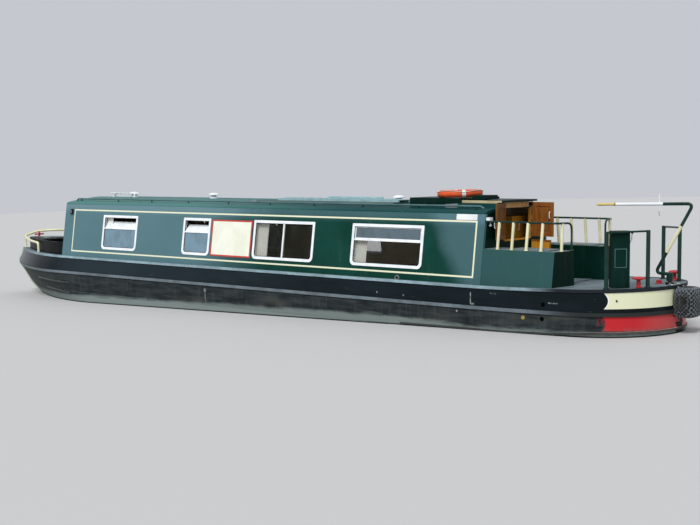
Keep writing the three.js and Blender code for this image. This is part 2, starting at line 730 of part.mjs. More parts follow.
// side lockers along the stern well, open over the deck, with lids and rails
function sternSideY(z) {
  return cabinBaseHalf - 4 - tumblehome * (z - deckTop);
}
const deckAt = (x) => deckTop + sheer(x);
const sternXs = [-5600, -5200, -4900];
function deckLine(x0, x1, above) {
  const xs = [x0, ...sternXs.filter((x) => x > x0 && x < x1), x1];
  return xs.map((x) => [x, deckAt(x) + above]);
}
const lidRun = { x0: -5600, x1: -5030, y0: 485, y1: 785 };
function sideLocker(start) {
  const long = slab([
    ...deckLine(lockerCorner, cabinRear - 1, 1.5), [cabinRear - 1, lockerTop], [lockerCorner, lockerTop],
  ], [], lockerWall, (a, b, d) => [a, sternSideY(b) - d, b]);
  const low = deckAt(lockerCorner - 70) + 2.5;
  const aftAt = (y, z) => lockerCorner - (sternSideY(z) - y) * 0.16;
  const aft = slab([
    [lockerInner, low], [sternSideY(low), low], [sternSideY(lockerTop), lockerTop], [lockerInner, lockerTop],
  ], [], lockerWall, (a, b, d) => [aftAt(a, b) + d, a, b]);
  const inner = slabXZ([
    ...deckLine(lockerCorner - 30, start, 1.5), [start, lockerTop], [lockerCorner - 30, lockerTop],
  ], [], lockerInner, lockerInner + 25);
  const front = slabYZ([
    [lockerInner, deckAt(start) + 2], [sternSideY(deckTop) - 10, deckAt(start) + 2],
    [sternSideY(lockerTop) - 10, lockerTop], [lockerInner, lockerTop],
  ], [], start - 25, start);
  const top = slabXY([
    [start, lockerInner], [start, sternSideY(lockerTop) - 8], [lockerCorner + 4, sternSideY(lockerTop) - 8],
    [aftAt(lockerInner, lockerTop) + 4, lockerInner],
  ], [], lockerTop - 20, lockerTop);
  return carved(joined([long, aft, inner, front, top]), [
    box(lidRun.x0 + 15, lidRun.x1 - 15, lidRun.y0 + 15, lidRun.y1 - 15, lockerTop - 40, lockerTop + 20),
  ]);
}
addNode('side_locker_port', sideLocker(cabinRear - 1), paint.green);
addNode('side_locker_starboard', mirrored(sideLocker(cabinRear - 1)), paint.green);
const lid = box(lidRun.x0, lidRun.x1, lidRun.y0, lidRun.y1, lockerTop + 1.5, lockerTop + 17);
addNode('locker_lid_port', tidy(lid), paint.grey);
addNode('locker_lid_starboard', mirrored(lid), paint.grey);

const balusterXs = [-4846, -5066, -5287, -5508];
function wellRail() {
  const y = sternSideY(railTop) - 14;
  const rail = bar([
    [cabinRear - 2, y, railTop - 12], [lockerCorner + 10, y, railTop - 12],
    [lockerCorner - 40, 472, railTop - 16], [lockerCorner - 40, 472, lockerTop + 1],
  ], 13, 10, 90);
  const parts = [rail];
  for (const x of balusterXs) {
    parts.push(bar([[x, sternSideY(lockerTop) - 20, lockerTop + 4], [x, y, railTop - 14]], 20, 10));
  }
  parts.push(bar([[lockerCorner - 7, 680, lockerTop + 4], [lockerCorner - 10, 660, railTop - 14]], 20, 10));
  return joined(parts);
}
const portRail = wellRail();
addNode('well_rail_port', portRail, paint.green);
addNode('well_rail_starboard', mirrored(portRail), paint.green);

// lid over the engine, laid on the deck
addNode('engine_hatch', tidy(slabXZ([
  ...deckLine(-5590, -4960, 1.5), ...deckLine(-5590, -4960, 13.5).reverse(),
], [], -420, 420)), paint.grey);

// stern deck rails
const railA = { x: -6444, y: 832, top: 1995 };
const railB = { x: -6831, y: 472, top: 2010 };
const portDeckRail = joined([
  rodZ(railA.x, railA.y, deckAt(railA.x) + 3, railA.top, 26, 14),
  rodZ(railB.x, railB.y, deckAt(railB.x) + 3, railB.top, 26, 14),
  bar([[railA.x, railA.y, railA.top - 16], [railB.x, railB.y, railB.top - 16]], 13, 10),
]);
addNode('deck_rail_port', portDeckRail, paint.green);
addNode('deck_rail_starboard', mirrored(portDeckRail), paint.green);

// engine control post beside the port rail, its foot cut to the deck slope
const consoleSize = { x: -6527, y: 643, length: 236, width: 110, top: 1998 };
const railTurn = Math.atan2(railB.y - railA.y, railB.x - railA.x);
const consoleBody = new THREE.BoxGeometry(consoleSize.length, consoleSize.width, consoleSize.top - 1300);
consoleBody.rotateZ(railTurn);
consoleBody.translate(consoleSize.x, consoleSize.y, (consoleSize.top + 1300) / 2);
const consolePoints = consoleBody.attributes.position;
for (let i = 0; i < consolePoints.count; i += 1) {
  if (consolePoints.getZ(i) < 1400) consolePoints.setZ(i, deckAt(consolePoints.getX(i)) + 3);
}
addNode('control_console', tidy(consoleBody), paint.green);

const dollyProfile = [[0, 0], [27, 0], [24, 96], [50, 100], [84, 112], [82, 120], [50, 134], [0, 140]];
addNode('stern_stud_port', turned(dollyProfile, -6741, 541, deckAt(-6741) + 3, 22), paint.red);
addNode('stern_stud_starboard', turned(dollyProfile, -6741, -541, deckAt(-6741) + 3, 22), paint.red);

// rudder, tiller and propeller
const bladeLow = 78;
const bladeHigh = 535;
const rudderBlade = slabXZ([
  [-6745, bladeLow], [-6745, bladeHigh], [-7235, bladeHigh - 40], [-7255, bladeLow + 60], [-7215, bladeLow],
], [], -8, 8);
const stock = rodZ(stockX, 0, bladeLow - 20, 1398, 25, 20);
const collar = rodZ(stockX, 0, 1336, 1400, 42, 20);
addNode('rudder', joined([rudderBlade, stock, collar]), paint.black);
addNode('tiller_arm', bar([
  [stockX, 0, 1402], [stockX, 0, 1425], [-6712, 0, 1425], [-7212, 0, 2326], [-6150, 0, 2303],
], 21, 12, 90), paint.green);
addNode('tiller_grip', bar([[-6149, 0, 2303], [-5874, 0, 2296]], 20, 12), paint.wood);

const blades = [];
for (const turn of [0, 120, 240]) {
  const blade = new THREE.CylinderGeometry(1, 1, 1, 14);
  blade.scale(74, 14, 88);
  blade.rotateX(Math.PI / 2);
  blade.rotateZ(Math.PI / 2);
  blade.rotateY(Math.PI / 2);
  blade.rotateZ(0.5);
  blade.translate(0, 0, 118);
  blade.rotateX((turn * Math.PI) / 180);
  blade.translate(propellerX, 0, shaftLevel);
  blades.push(blade);
}
const propellerHub = rodX(propellerX - 55, propellerX + 52, 0, shaftLevel, 38, 18);
addNode('propeller', joined([propellerHub, ...blades]), paint.bronze);

addNode('engine_block', box(-5900, -5000, -260, 260, hullFloor + 1, 900), paint.iron);

// raised bow coaming round the well, plated over ahead of it
const coamingXs = [4596, 4800, 5000, 5200, 5400, 5600, 5750, 5900, 6050, 6200, 6350, 6500, 6650, 6750];
const coamingHalf = (x) => bowHalf(x, deckTop, 0) - coamingInset;
const coamingBody = slabXY(bothSides(coamingXs, coamingHalf), [], deckTop + 1, coamingTop);
const roomXs = [4560, ...coamingXs.slice(1, -1), 6715];
const roomHalf = (x) => coamingHalf(Math.max(x, 4596)) - coamingWall;
const coamingRoom = slabXY(bothSides(roomXs, roomHalf), [], deckTop - 10, coamingTop - 25);
const wellCut = slabXY(bothSides([4560, ...wellXs.slice(1)], roomHalf), [], deckTop - 10, coamingTop + 40);
const crossPlan = bothSides([foredeckStart, foredeckStart + 30], (x) => coamingHalf(x) - 10);
const crossWall = slabXY(crossPlan, [], deckTop + 1, coamingTop - 5);
const bowCoaming = toSolid(coamingBody).subtract(toSolid(coamingRoom)).subtract(toSolid(wellCut))
  .add(toSolid(crossWall)).subtract(toSolid(slabXY(lockerPlan, [], deckTop - 10, coamingTop + 40)));
addNode('bow_coaming', toGeometry(bowCoaming), paint.black);

const lidTop = coamingTop + 1.5;
addNode('gas_locker_lid', tidy(slabXY([
  [5950, -300], [6400, -165], [6400, 165], [5950, 300],
], [], lidTop, lidTop + 12.5)), paint.grey);

// rail round the bow, higher on the far side as in the photo
const railInset = -54;
const railLift = [
  [5670, 1400, 1570], [5932, 1405, 1577], [6186, 1408, 1580],
  [6445, 1414, 1580], [6655, 1420, 1570], [6860, 1432, 1545],
];
const bowFoot = [5660, bowHalf(5660, deckTop, railInset), deckTop + 7];
const bowRailLoop = [
  bowFoot,
  ...railLift.map(([x, near]) => [x, bowHalf(x, deckTop, railInset), near]),
  [7070, 0, 1460],
  ...railLift.map(([x, near, far]) => [x, -bowHalf(x, deckTop, railInset), far]).reverse(),
  [bowFoot[0], -bowFoot[1], bowFoot[2]],
];
addNode('bow_rail', joined([
  bar(bowRailLoop, 23, 10, 60),
  rodZ(7052, 0, deckTop + 1, 1460, 18, 10),
]), paint.cream);
const studX = 6590;
addNode('bow_stud', joined([
  rodZ(studX, 0, coamingTop + 1, 1565, 19, 14),
  bar([[studX, -110, 1508], [studX, 110, 1508]], 15, 10),
]), paint.red);

// things on the roof
const ventProfile = [[0, 0], [62, 0], [62, 26], [44, 30], [44, 52], [88, 56], [92, 64], [60, 88], [0, 98]];
const ventTable = [{ id: 1, x: 3590 }, { id: 2, x: 1463 }, { id: 3, x: -2572 }];
for (const v of ventTable) {
  addNode(`roof_vent_${v.id}`, turned(ventProfile, v.x, 0, roofCrown + 1, 20), paint.white);
}
const buoy = new THREE.TorusGeometry(278, 52, 12, 36);
buoy.rotateY(0.022);
buoy.translate(-3815, 200, 2431);
addNode('lifebuoy', tidy(buoy), paint.orange);
addNode('gang_plank', box(-2850, -420, 90, 380, 2291, 2329), paint.grey);
addNode('boat_pole', rodX(-3000, 100, 430, 2275, 18, 10), paint.wood);

addNode('well_locker', box(-4935, -4640, -453, -390, deckAt(-4935) + 3, 1765), paint.wood);

// barrel-shaped rope fender
const fenderPower = 4.5;
const fender = tidy(new THREE.SphereGeometry(1, 24, 14));
const fenderPoints = fender.attributes.position;
for (let i = 0; i < fenderPoints.count; i += 1) {
  const v = [fenderPoints.getX(i), fenderPoints.getY(i), fenderPoints.getZ(i)];
  const blunt = v.reduce((sum, c) => sum + Math.abs(c) ** fenderPower, 0) ** (-1 / fenderPower);
  fenderPoints.setXYZ(i, v[0] * blunt * 155 - 7150, v[1] * blunt * 210, v[2] * blunt * 195 + 1080);
}
addNode('stern_fender', carved(fender, [hullBody(upperLevels, strakeProud + 2, 'upper')]), paint.rope);

export default group;
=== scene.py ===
import math
import bmesh
import bpy
from mathutils import Matrix, Vector


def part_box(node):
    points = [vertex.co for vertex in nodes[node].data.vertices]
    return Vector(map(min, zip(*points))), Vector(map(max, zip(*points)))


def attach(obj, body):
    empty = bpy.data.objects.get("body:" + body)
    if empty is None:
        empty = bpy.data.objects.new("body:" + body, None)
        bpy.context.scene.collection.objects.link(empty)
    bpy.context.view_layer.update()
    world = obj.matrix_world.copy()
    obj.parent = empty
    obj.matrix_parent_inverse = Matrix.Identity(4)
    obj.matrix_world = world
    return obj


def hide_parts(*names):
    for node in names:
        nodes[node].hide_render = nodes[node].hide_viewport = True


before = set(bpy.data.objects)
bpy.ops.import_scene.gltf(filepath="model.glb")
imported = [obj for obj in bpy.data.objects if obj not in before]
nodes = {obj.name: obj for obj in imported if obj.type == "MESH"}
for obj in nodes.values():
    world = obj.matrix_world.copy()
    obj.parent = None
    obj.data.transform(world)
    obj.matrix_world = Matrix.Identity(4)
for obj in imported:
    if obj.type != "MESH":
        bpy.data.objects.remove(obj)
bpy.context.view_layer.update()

print("frame loaded:", len(nodes), "nodes")

# camera of the photograph, in the boat's own frame
view = {"x": -13.0338, "y": 13.7947, "z": 2.8293, "yaw": 0.6921, "pitch": 0.0842, "roll": -0.0078,
        "lens": 58.687, "sensor": 36, "reach": 300}
water = {"level": 0.5, "slope": -0.0257, "shift": 0.05}
stage = {"span": 90, "floor": (0.50, 0.50, 0.49, 1), "rough": 0.85, "sky": (0.9, 0.93, 1.0, 1),
         "skyLight": 0.62, "sunLight": 2.6, "sunSize": 25, "sunTurn": (38, -12, -150)}


def setCamera():
    forward = Vector((math.sin(view["yaw"]) * math.cos(view["pitch"]),
                      -math.cos(view["yaw"]) * math.cos(view["pitch"]), -math.sin(view["pitch"])))
    level = forward.cross(Vector((0, 0, 1))).normalized()
    upright = level.cross(forward)
    right = level * math.cos(view["roll"]) + upright * math.sin(view["roll"])
    up = upright * math.cos(view["roll"]) - level * math.sin(view["roll"])
    data = bpy.data.cameras.new("camera")
    data.lens = view["lens"]
    data.sensor_width = view["sensor"]
    data.sensor_fit = "HORIZONTAL"
    data.clip_end = view["reach"]
    camera = bpy.data.objects.new("camera", data)
    bpy.context.scene.collection.objects.link(camera)
    camera.matrix_world = Matrix((
        (right.x, up.x, -forward.x, view["x"]),
        (right.y, up.y, -forward.y, view["y"]),
        (right.z, up.z, -forward.z, view["z"]),
        (0, 0, 0, 1)))
    bpy.context.scene.camera = camera


def floorLevel(x):
    return water["level"] + water["slope"] * (x + water["shift"])


def setStage():
    mesh = bpy.data.meshes.new("floor")
    span = stage["span"]
    corners = [(-span, -span), (span, -span), (span, span), (-span, span)]
    mesh.from_pydata([(x, y, floorLevel(x)) for x, y in corners], [], [(0, 1, 2, 3)])
    floor = bpy.data.objects.new("floor", mesh)
    bpy.context.scene.collection.objects.link(floor)
    paint = bpy.data.materials.new("floorPaint")
    paint.use_nodes = True
    shader = paint.node_tree.nodes["Principled BSDF"]
    shader.inputs["Base Color"].default_value = stage["floor"]
    shader.inputs["Roughness"].default_value = stage["rough"]
    mesh.materials.append(paint)
    world = bpy.data.worlds.new("studio")
    world.use_nodes = True
    sky = world.node_tree.nodes["Background"]
    sky.inputs["Color"].default_value = stage["sky"]
    sky.inputs["Strength"].default_value = stage["skyLight"]
    bpy.context.scene.world = world
    sun = bpy.data.lights.new("sun", "SUN")
    sun.energy = stage["sunLight"]
    sun.angle = math.radians(stage["sunSize"])
    lamp = bpy.data.objects.new("sun", sun)
    lamp.rotation_euler = [math.radians(turn) for turn in stage["sunTurn"]]
    bpy.context.scene.collection.objects.link(lamp)


setCamera()
setStage()
bpy.context.scene.view_settings.view_transform = "Standard"   # paint colours come out as mixed
print("camera and stage set")


# node helpers for materials
def startMaterial(name):
    material = bpy.data.materials.new(name)
    material.use_nodes = True
    tree = material.node_tree
    return material, tree, tree.nodes["Principled BSDF"]


def put(tree, kind, inputs, **settings):
    made = tree.nodes.new(kind)
    for key, value in settings.items():
        setattr(made, key, value)
    for key, value in inputs.items():
        if isinstance(value, bpy.types.NodeSocket):
            tree.links.new(value, made.inputs[key])
        else:
            made.inputs[key].default_value = value
    return made


def calc(tree, operation, a, b=0.0, clamp=False):
    return put(tree, "ShaderNodeMath", {0: a, 1: b}, operation=operation, use_clamp=clamp).outputs[0]


def step(tree, value, low, high):
    ranged = put(tree, "ShaderNodeMapRange", {"Value": value, "From Min": low, "From Max": high},
                 interpolation_type="SMOOTHSTEP")
    return ranged.outputs["Result"]


def within(tree, value, low, high, soft):
    rise = step(tree, value, low - soft, low + soft)
    fall = step(tree, value, high + soft, high - soft)
    return calc(tree, "MULTIPLY", rise, fall)


def mixed(tree, factor, a, b, blend="MIX"):
    made = put(tree, "ShaderNodeMix", {0: factor}, data_type="RGBA", blend_type=blend)
    for index, value in ((6, a), (7, b)):
        if isinstance(value, bpy.types.NodeSocket):
            tree.links.new(value, made.inputs[index])
        else:
            made.inputs[index].default_value = (*value, 1)
    return made.outputs[2]


daylight = 0.93   # share of the light that reaches the paint


# paint colour as it looks in daylight, 0 to 255, turned into what the shader takes
def lit(red, green, blue):
    light = []
    for c in (red / 255, green / 255, blue / 255):
        light.append(daylight * (c / 12.92 if c < 0.04045 else ((c + 0.055) / 1.055) ** 2.4))
    return tuple(light)


def coordsOf(tree):
    return put(tree, "ShaderNodeTexCoord", {}).outputs["Object"]


def axesOf(tree, coords):
    axes = put(tree, "ShaderNodeSeparateXYZ", {0: coords}).outputs
    return axes[0], axes[1], axes[2]


def noise(tree, coords, scale, detail=3.0, rough=0.55, stretch=None):
    if stretch:
        coords = put(tree, "ShaderNodeMapping", {"Vector": coords, "Scale": stretch}).outputs[0]
    made = put(tree, "ShaderNodeTexNoise",
               {"Vector": coords, "Scale": scale, "Detail": detail, "Roughness": rough})
    return made.outputs[0]


def addBump(tree, shader, height, strength, distance):
    bump = put(tree, "ShaderNodeBump", {"Height": height, "Strength": strength, "Distance": distance})
    tree.links.new(bump.outputs[0], shader.inputs["Normal"])


def setColor(tree, shader, color):
    tree.links.new(color, shader.inputs["Base Color"])


def setRough(tree, shader, factor, low, high):
    rough = put(tree, "ShaderNodeMapRange",
                {"Value": factor, "To Min": low, "To Max": high}).outputs["Result"]
    tree.links.new(rough, shader.inputs["Roughness"])


# painted steel: slow shade changes, thin dust, fine brush marks and a few chips
def plainPaint(name, color, shade, rough=0.3, shine=0.3, scale=2.5, chips=0.0, chipColor=(0.2, 0.2, 0.2),
               dust=0.2):
    material, tree, shader = startMaterial(name)
    coords = coordsOf(tree)
    cloud = noise(tree, coords, scale, 4)
    fine = noise(tree, coords, 60, 3, 0.6, (1, 1, 0.5))
    streak = noise(tree, coords, 7, 5, 0.6, (1.6, 1.6, 0.25))
    base = mixed(tree, step(tree, cloud, 0.35, 0.68), color, shade)
    dusty = mixed(tree, calc(tree, "MULTIPLY", step(tree, streak, 0.5, 0.75), dust), base, (0.3, 0.31, 0.29))
    if chips:
        spots = calc(tree, "MULTIPLY", step(tree, noise(tree, coords, 38, 4, 0.7), 0.66, 0.7), chips)
        dusty = mixed(tree, spots, dusty, chipColor)
    setColor(tree, shader, dusty)
    setRough(tree, shader, streak, rough * 0.7, min(rough * 1.5, 1))
    shader.inputs["Specular IOR Level"].default_value = shine
    addBump(tree, shader, fine, 0.12, 0.001)
    return material


roofLook = {"aft": lit(18, 66, 66), "fore": lit(74, 122, 118), "worn": lit(116, 138, 134),
            "darkTo": -2.6, "paleFrom": 1.6, "wander": 2.4, "primer": lit(150, 152, 156),
            "spotX": -3.875, "spotY": 0.47, "spotLong": 0.13, "spotWide": 0.055}


# matt green, paler towards the bow as painted sky reflection and dark towards the stern
def roofPaint():
    material, tree, shader = startMaterial("roofGreen")
    coords = coordsOf(tree)
    x, y = axesOf(tree, coords)[:2]
    cloud = noise(tree, coords, 0.8, 4, 0.55, (0.5, 1, 1))
    grit = noise(tree, coords, 55, 4, 0.7)
    along = calc(tree, "ADD", x, calc(tree, "MULTIPLY", calc(tree, "SUBTRACT", cloud, 0.5),
                                              roofLook["wander"]))
    # painted sky reflection: blends from the dark aft colour to the pale fore one
    fore = step(tree, along, roofLook["darkTo"], roofLook["paleFrom"])
    base = mixed(tree, fore, roofLook["aft"], roofLook["fore"])
    worn = step(tree, noise(tree, coords, 4, 5, 0.7, (0.5, 1, 1)), 0.6, 0.75)
    base = mixed(tree, calc(tree, "MULTIPLY", worn, 0.25), base, roofLook["worn"])
    offX = calc(tree, "DIVIDE", calc(tree, "SUBTRACT", x, roofLook["spotX"]), roofLook["spotLong"])
    offY = calc(tree, "DIVIDE", calc(tree, "SUBTRACT", y, roofLook["spotY"]), roofLook["spotWide"])
    away = calc(tree, "ADD", calc(tree, "POWER", offX, 2), calc(tree, "POWER", offY, 2))
    spot = step(tree, away, 1.15, 0.8)   # bare primer by the hatch
    base = mixed(tree, calc(tree, "MULTIPLY", spot, 0.9), base, roofLook["primer"])
    setColor(tree, shader, base)
    setRough(tree, shader, cloud, 0.4, 0.7)
    shader.inputs["Specular IOR Level"].default_value = 0.12
    addBump(tree, shader, grit, 0.15, 0.001)
    return material


# sizes taken from the photograph, metres
cabin = {"baseHalf": 0.923, "lean": 0.1475, "deck": 1.22, "wall": 0.045}
coach = {"x0": -4.50, "x1": 4.31, "z0": 1.32, "z1": 2.067, "line": 0.024}
# the two pale blue-grey shades here are painted sky reflection on the green
greens = {"deep": lit(3, 54, 43), "mid": lit(9, 64, 55), "skyReflection": lit(87, 121, 129),
          "crownReflection": lit(116, 146, 153), "dust": (0.2, 0.23, 0.22)}
skyReflectionPlace = {"foreFrom": -0.3, "foreTo": 1.8, "aftFrom": -3.6, "aftTo": -4.0, "aftShare": 0.62,
             "slantAt": 1.75, "crownFrom": 1.98, "crownTo": 2.14, "crownShare": 0.55}
lining = {"aft": -4.60, "fore": 4.56, "skin": 0.022, "dark": (0.42, 0.31, 0.19),
          "pale": (0.52, 0.40, 0.26)}
cream = lit(236, 236, 205)


# one where the point lies on the outline of the coachline box
def lineBox(tree, x, z, frameBox, half):
    halfX = (frameBox["x1"] - frameBox["x0"]) / 2
    halfZ = (frameBox["z1"] - frameBox["z0"]) / 2
    midX = frameBox["x0"] + halfX
    midZ = frameBox["z0"] + halfZ
    dx = calc(tree, "SUBTRACT", calc(tree, "ABSOLUTE", calc(tree, "SUBTRACT", x, midX)), halfX)
    dz = calc(tree, "SUBTRACT", calc(tree, "ABSOLUTE", calc(tree, "SUBTRACT", z, midZ)), halfZ)
    edge = calc(tree, "ABSOLUTE", calc(tree, "MAXIMUM", dx, dz))
    return step(tree, edge, half + 0.0015, half - 0.0015)


# deep gloss green under a painted sky reflection, with the coachline and the cabin lining where asked for
def greenPaint(name, coachLines=False, skyReflection=1.0, rough=0.2, shine=0.12):
    material, tree, shader = startMaterial(name)
    coords = coordsOf(tree)
    x, y, z = axesOf(tree, coords)
    slow = noise(tree, coords, 0.8, 3, 0.5, (1, 1, 1.4))
    wavy = noise(tree, coords, 1.7, 4, 0.55)
    base = mixed(tree, step(tree, wavy, 0.35, 0.7), greens["deep"], greens["mid"])
    # painted sky reflection: paler on the fore half, by the stern and along the top of the side
    place = skyReflectionPlace
    drift = calc(tree, "ADD", x, calc(tree, "MULTIPLY", slow, 1.2))
    ahead = step(tree, drift, place["foreFrom"], place["foreTo"])   # paler fore half
    slant = calc(tree, "ADD", x, calc(tree, "MULTIPLY", calc(tree, "SUBTRACT", place["slantAt"], z), 0.55))
    slant = calc(tree, "ADD", slant, calc(tree, "MULTIPLY", wavy, 0.4))
    astern = calc(tree, "MULTIPLY", step(tree, slant, place["aftFrom"], place["aftTo"]), place["aftShare"])
    crownReflection = calc(tree, "MULTIPLY", step(tree, z, place["crownFrom"], place["crownTo"]), place["crownShare"])
    reflectionShare = calc(tree, "ADD", calc(tree, "MAXIMUM", ahead, astern), crownReflection, True)
    cloud = calc(tree, "MULTIPLY", reflectionShare, calc(tree, "ADD", calc(tree, "MULTIPLY", slow, 0.35), 0.78, True),
                 True)
    base = mixed(tree, calc(tree, "MULTIPLY", cloud, skyReflection), base, greens["skyReflection"])
    base = mixed(tree, calc(tree, "MULTIPLY", calc(tree, "MULTIPLY", crownReflection, ahead), skyReflection), base,
                 greens["crownReflection"])
    streak = noise(tree, coords, 5, 5, 0.65, (2.0, 2.0, 0.22))
    dusted = calc(tree, "MULTIPLY", step(tree, streak, 0.55, 0.85), 0.10)
    base = mixed(tree, dusted, base, greens["dust"])
    if coachLines:
        worn = calc(tree, "ADD", calc(tree, "MULTIPLY", noise(tree, coords, 22, 3), 0.35), 0.8, True)
        line = calc(tree, "MULTIPLY", lineBox(tree, x, z, coach, coach["line"] / 2), worn)
        base = mixed(tree, line, base, cream)
        grain = noise(tree, coords, 6, 3, 0.5, (0.3, 1, 4))
        wood = mixed(tree, grain, lining["dark"], lining["pale"])
        sideAt = calc(tree, "SUBTRACT", cabin["baseHalf"] - lining["skin"] + cabin["lean"] * cabin["deck"],
                      calc(tree, "MULTIPLY", z, cabin["lean"]))
        inside = step(tree, calc(tree, "SUBTRACT", sideAt, calc(tree, "ABSOLUTE", y)), -0.001, 0.001)
        inside = calc(tree, "MULTIPLY", inside, within(tree, x, lining["aft"], lining["fore"], 0.01))
        base = mixed(tree, inside, base, wood)
    setColor(tree, shader, base)
    setRough(tree, shader, streak, rough, rough * 1.8)
    shader.inputs["Specular IOR Level"].default_value = shine
    addBump(tree, shader, noise(tree, coords, 2.2, 2, 0.5), 0.25, 0.004)
    return material


sheerData = {"start": -4.64, "rate": 0.050, "run": 1.79, "low": 0.575, "span": 0.645}


def sheerOf(tree, x):
    back = calc(tree, "SUBTRACT", sheerData["start"], x)
    run = calc(tree, "MAXIMUM", calc(tree, "DIVIDE", back, sheerData["run"]), 0)
    return calc(tree, "MULTIPLY", calc(tree, "POWER", run, 1.5), sheerData["rate"])


# height on the plating with the stern's rise taken out
def levelOf(tree, x, z):
    rise = sheerOf(tree, x)
    top = calc(tree, "ADD", z, calc(tree, "MULTIPLY", rise, sheerData["low"] / sheerData["span"]))
    return calc(tree, "DIVIDE", top, calc(tree, "ADD", calc(tree, "DIVIDE", rise, sheerData["span"]), 1))


bands = {
    "cream": {"low": 0.995, "high": 1.181, "edge": -6.475, "bow": 0.045, "color": lit(228, 230, 196)},
    "red": {"low": 0.741, "high": 0.912, "edge": -6.45, "bow": 0.03, "color": lit(192, 44, 50)},
}
# scrapes on the port plating: place, foot, head, half width and strength
scrapes = [
    {"x": 0.641, "z0": 0.60, "z1": 0.86, "half": 0.006, "amount": 0.55},
    {"x": 0.641, "z0": 0.80, "z1": 0.865, "half": 0.03, "amount": 0.30},
    {"x": -4.545, "z0": 0.975, "z1": 1.13, "half": 0.007, "amount": 0.7},
    {"x": -4.575, "z0": 0.965, "z1": 0.985, "half": 0.03, "amount": 0.6},
    {"x": -5.80, "z0": 1.060, "z1": 1.072, "half": 0.07, "amount": 0.7},
    {"x": -4.90, "z0": 1.13, "z1": 1.14, "half": 0.05, "amount": 0.35},
    {"x": -2.944, "z0": 1.015, "z1": 1.04, "half": 0.011, "amount": 0.7},
    {"x": -3.411, "z0": 1.005, "z1": 1.025, "half": 0.016, "amount": 0.6},
]


def bandMask(tree, x, level, band):
    mid = (band["low"] + band["high"]) / 2
    half = (band["high"] - band["low"]) / 2
    off = calc(tree, "DIVIDE", calc(tree, "SUBTRACT", level, mid), half)
    arc = calc(tree, "SUBTRACT", 1, calc(tree, "MULTIPLY", off, off))
    edge = calc(tree, "ADD", x, calc(tree, "MULTIPLY", arc, band["bow"]))
    aft = step(tree, edge, band["edge"] + 0.002, band["edge"] - 0.002)
    rim = within(tree, edge, band["edge"] - 0.001, band["edge"] + 0.012, 0.002)
    height = within(tree, level, band["low"], band["high"], 0.002)
    return calc(tree, "MULTIPLY", aft, height), calc(tree, "MULTIPLY", rim, height)


# heights and places on the plating, metres, and the shades laid over the black: wear, dirt and a painted sky
# sheen
plating = {"glossFrom": 0.925, "waterAt": 0.4987, "tide": 0.075, "wetTo": 0.028, "wetFrom": 0.010,
           "sheenFrom": -1.5, "sheenTo": 6.5, "sheenEnd": 5.4, "bowFrom": 3.6, "bowTo": 6.9,
           "roughDull": 0.72, "roughGloss": 0.22}
shades = {
    "glossDark": lit(12, 20, 23), "glossLight": lit(22, 32, 38), "paintedSheen": lit(40, 55, 62),
    "scuff": lit(96, 104, 110), "dullDark": lit(27, 34, 37), "dullLight": lit(54, 60, 62),
    "streak": lit(84, 88, 86), "dust": lit(84, 82, 74), "bowDust": lit(92, 96, 92),
    "tideMark": lit(130, 142, 138), "wet": lit(24, 30, 28), "rust": lit(88, 72, 58),
    "scrape": lit(190, 194, 190), "fadedRed": lit(186, 110, 106), "scuffedRed": lit(140, 88, 84),
    "rim": lit(244, 244, 236), "splash": lit(150, 44, 48),
}
splashBox = {"x0": -6.49, "x1": -6.38, "z0": 0.80, "z1": 0.90}
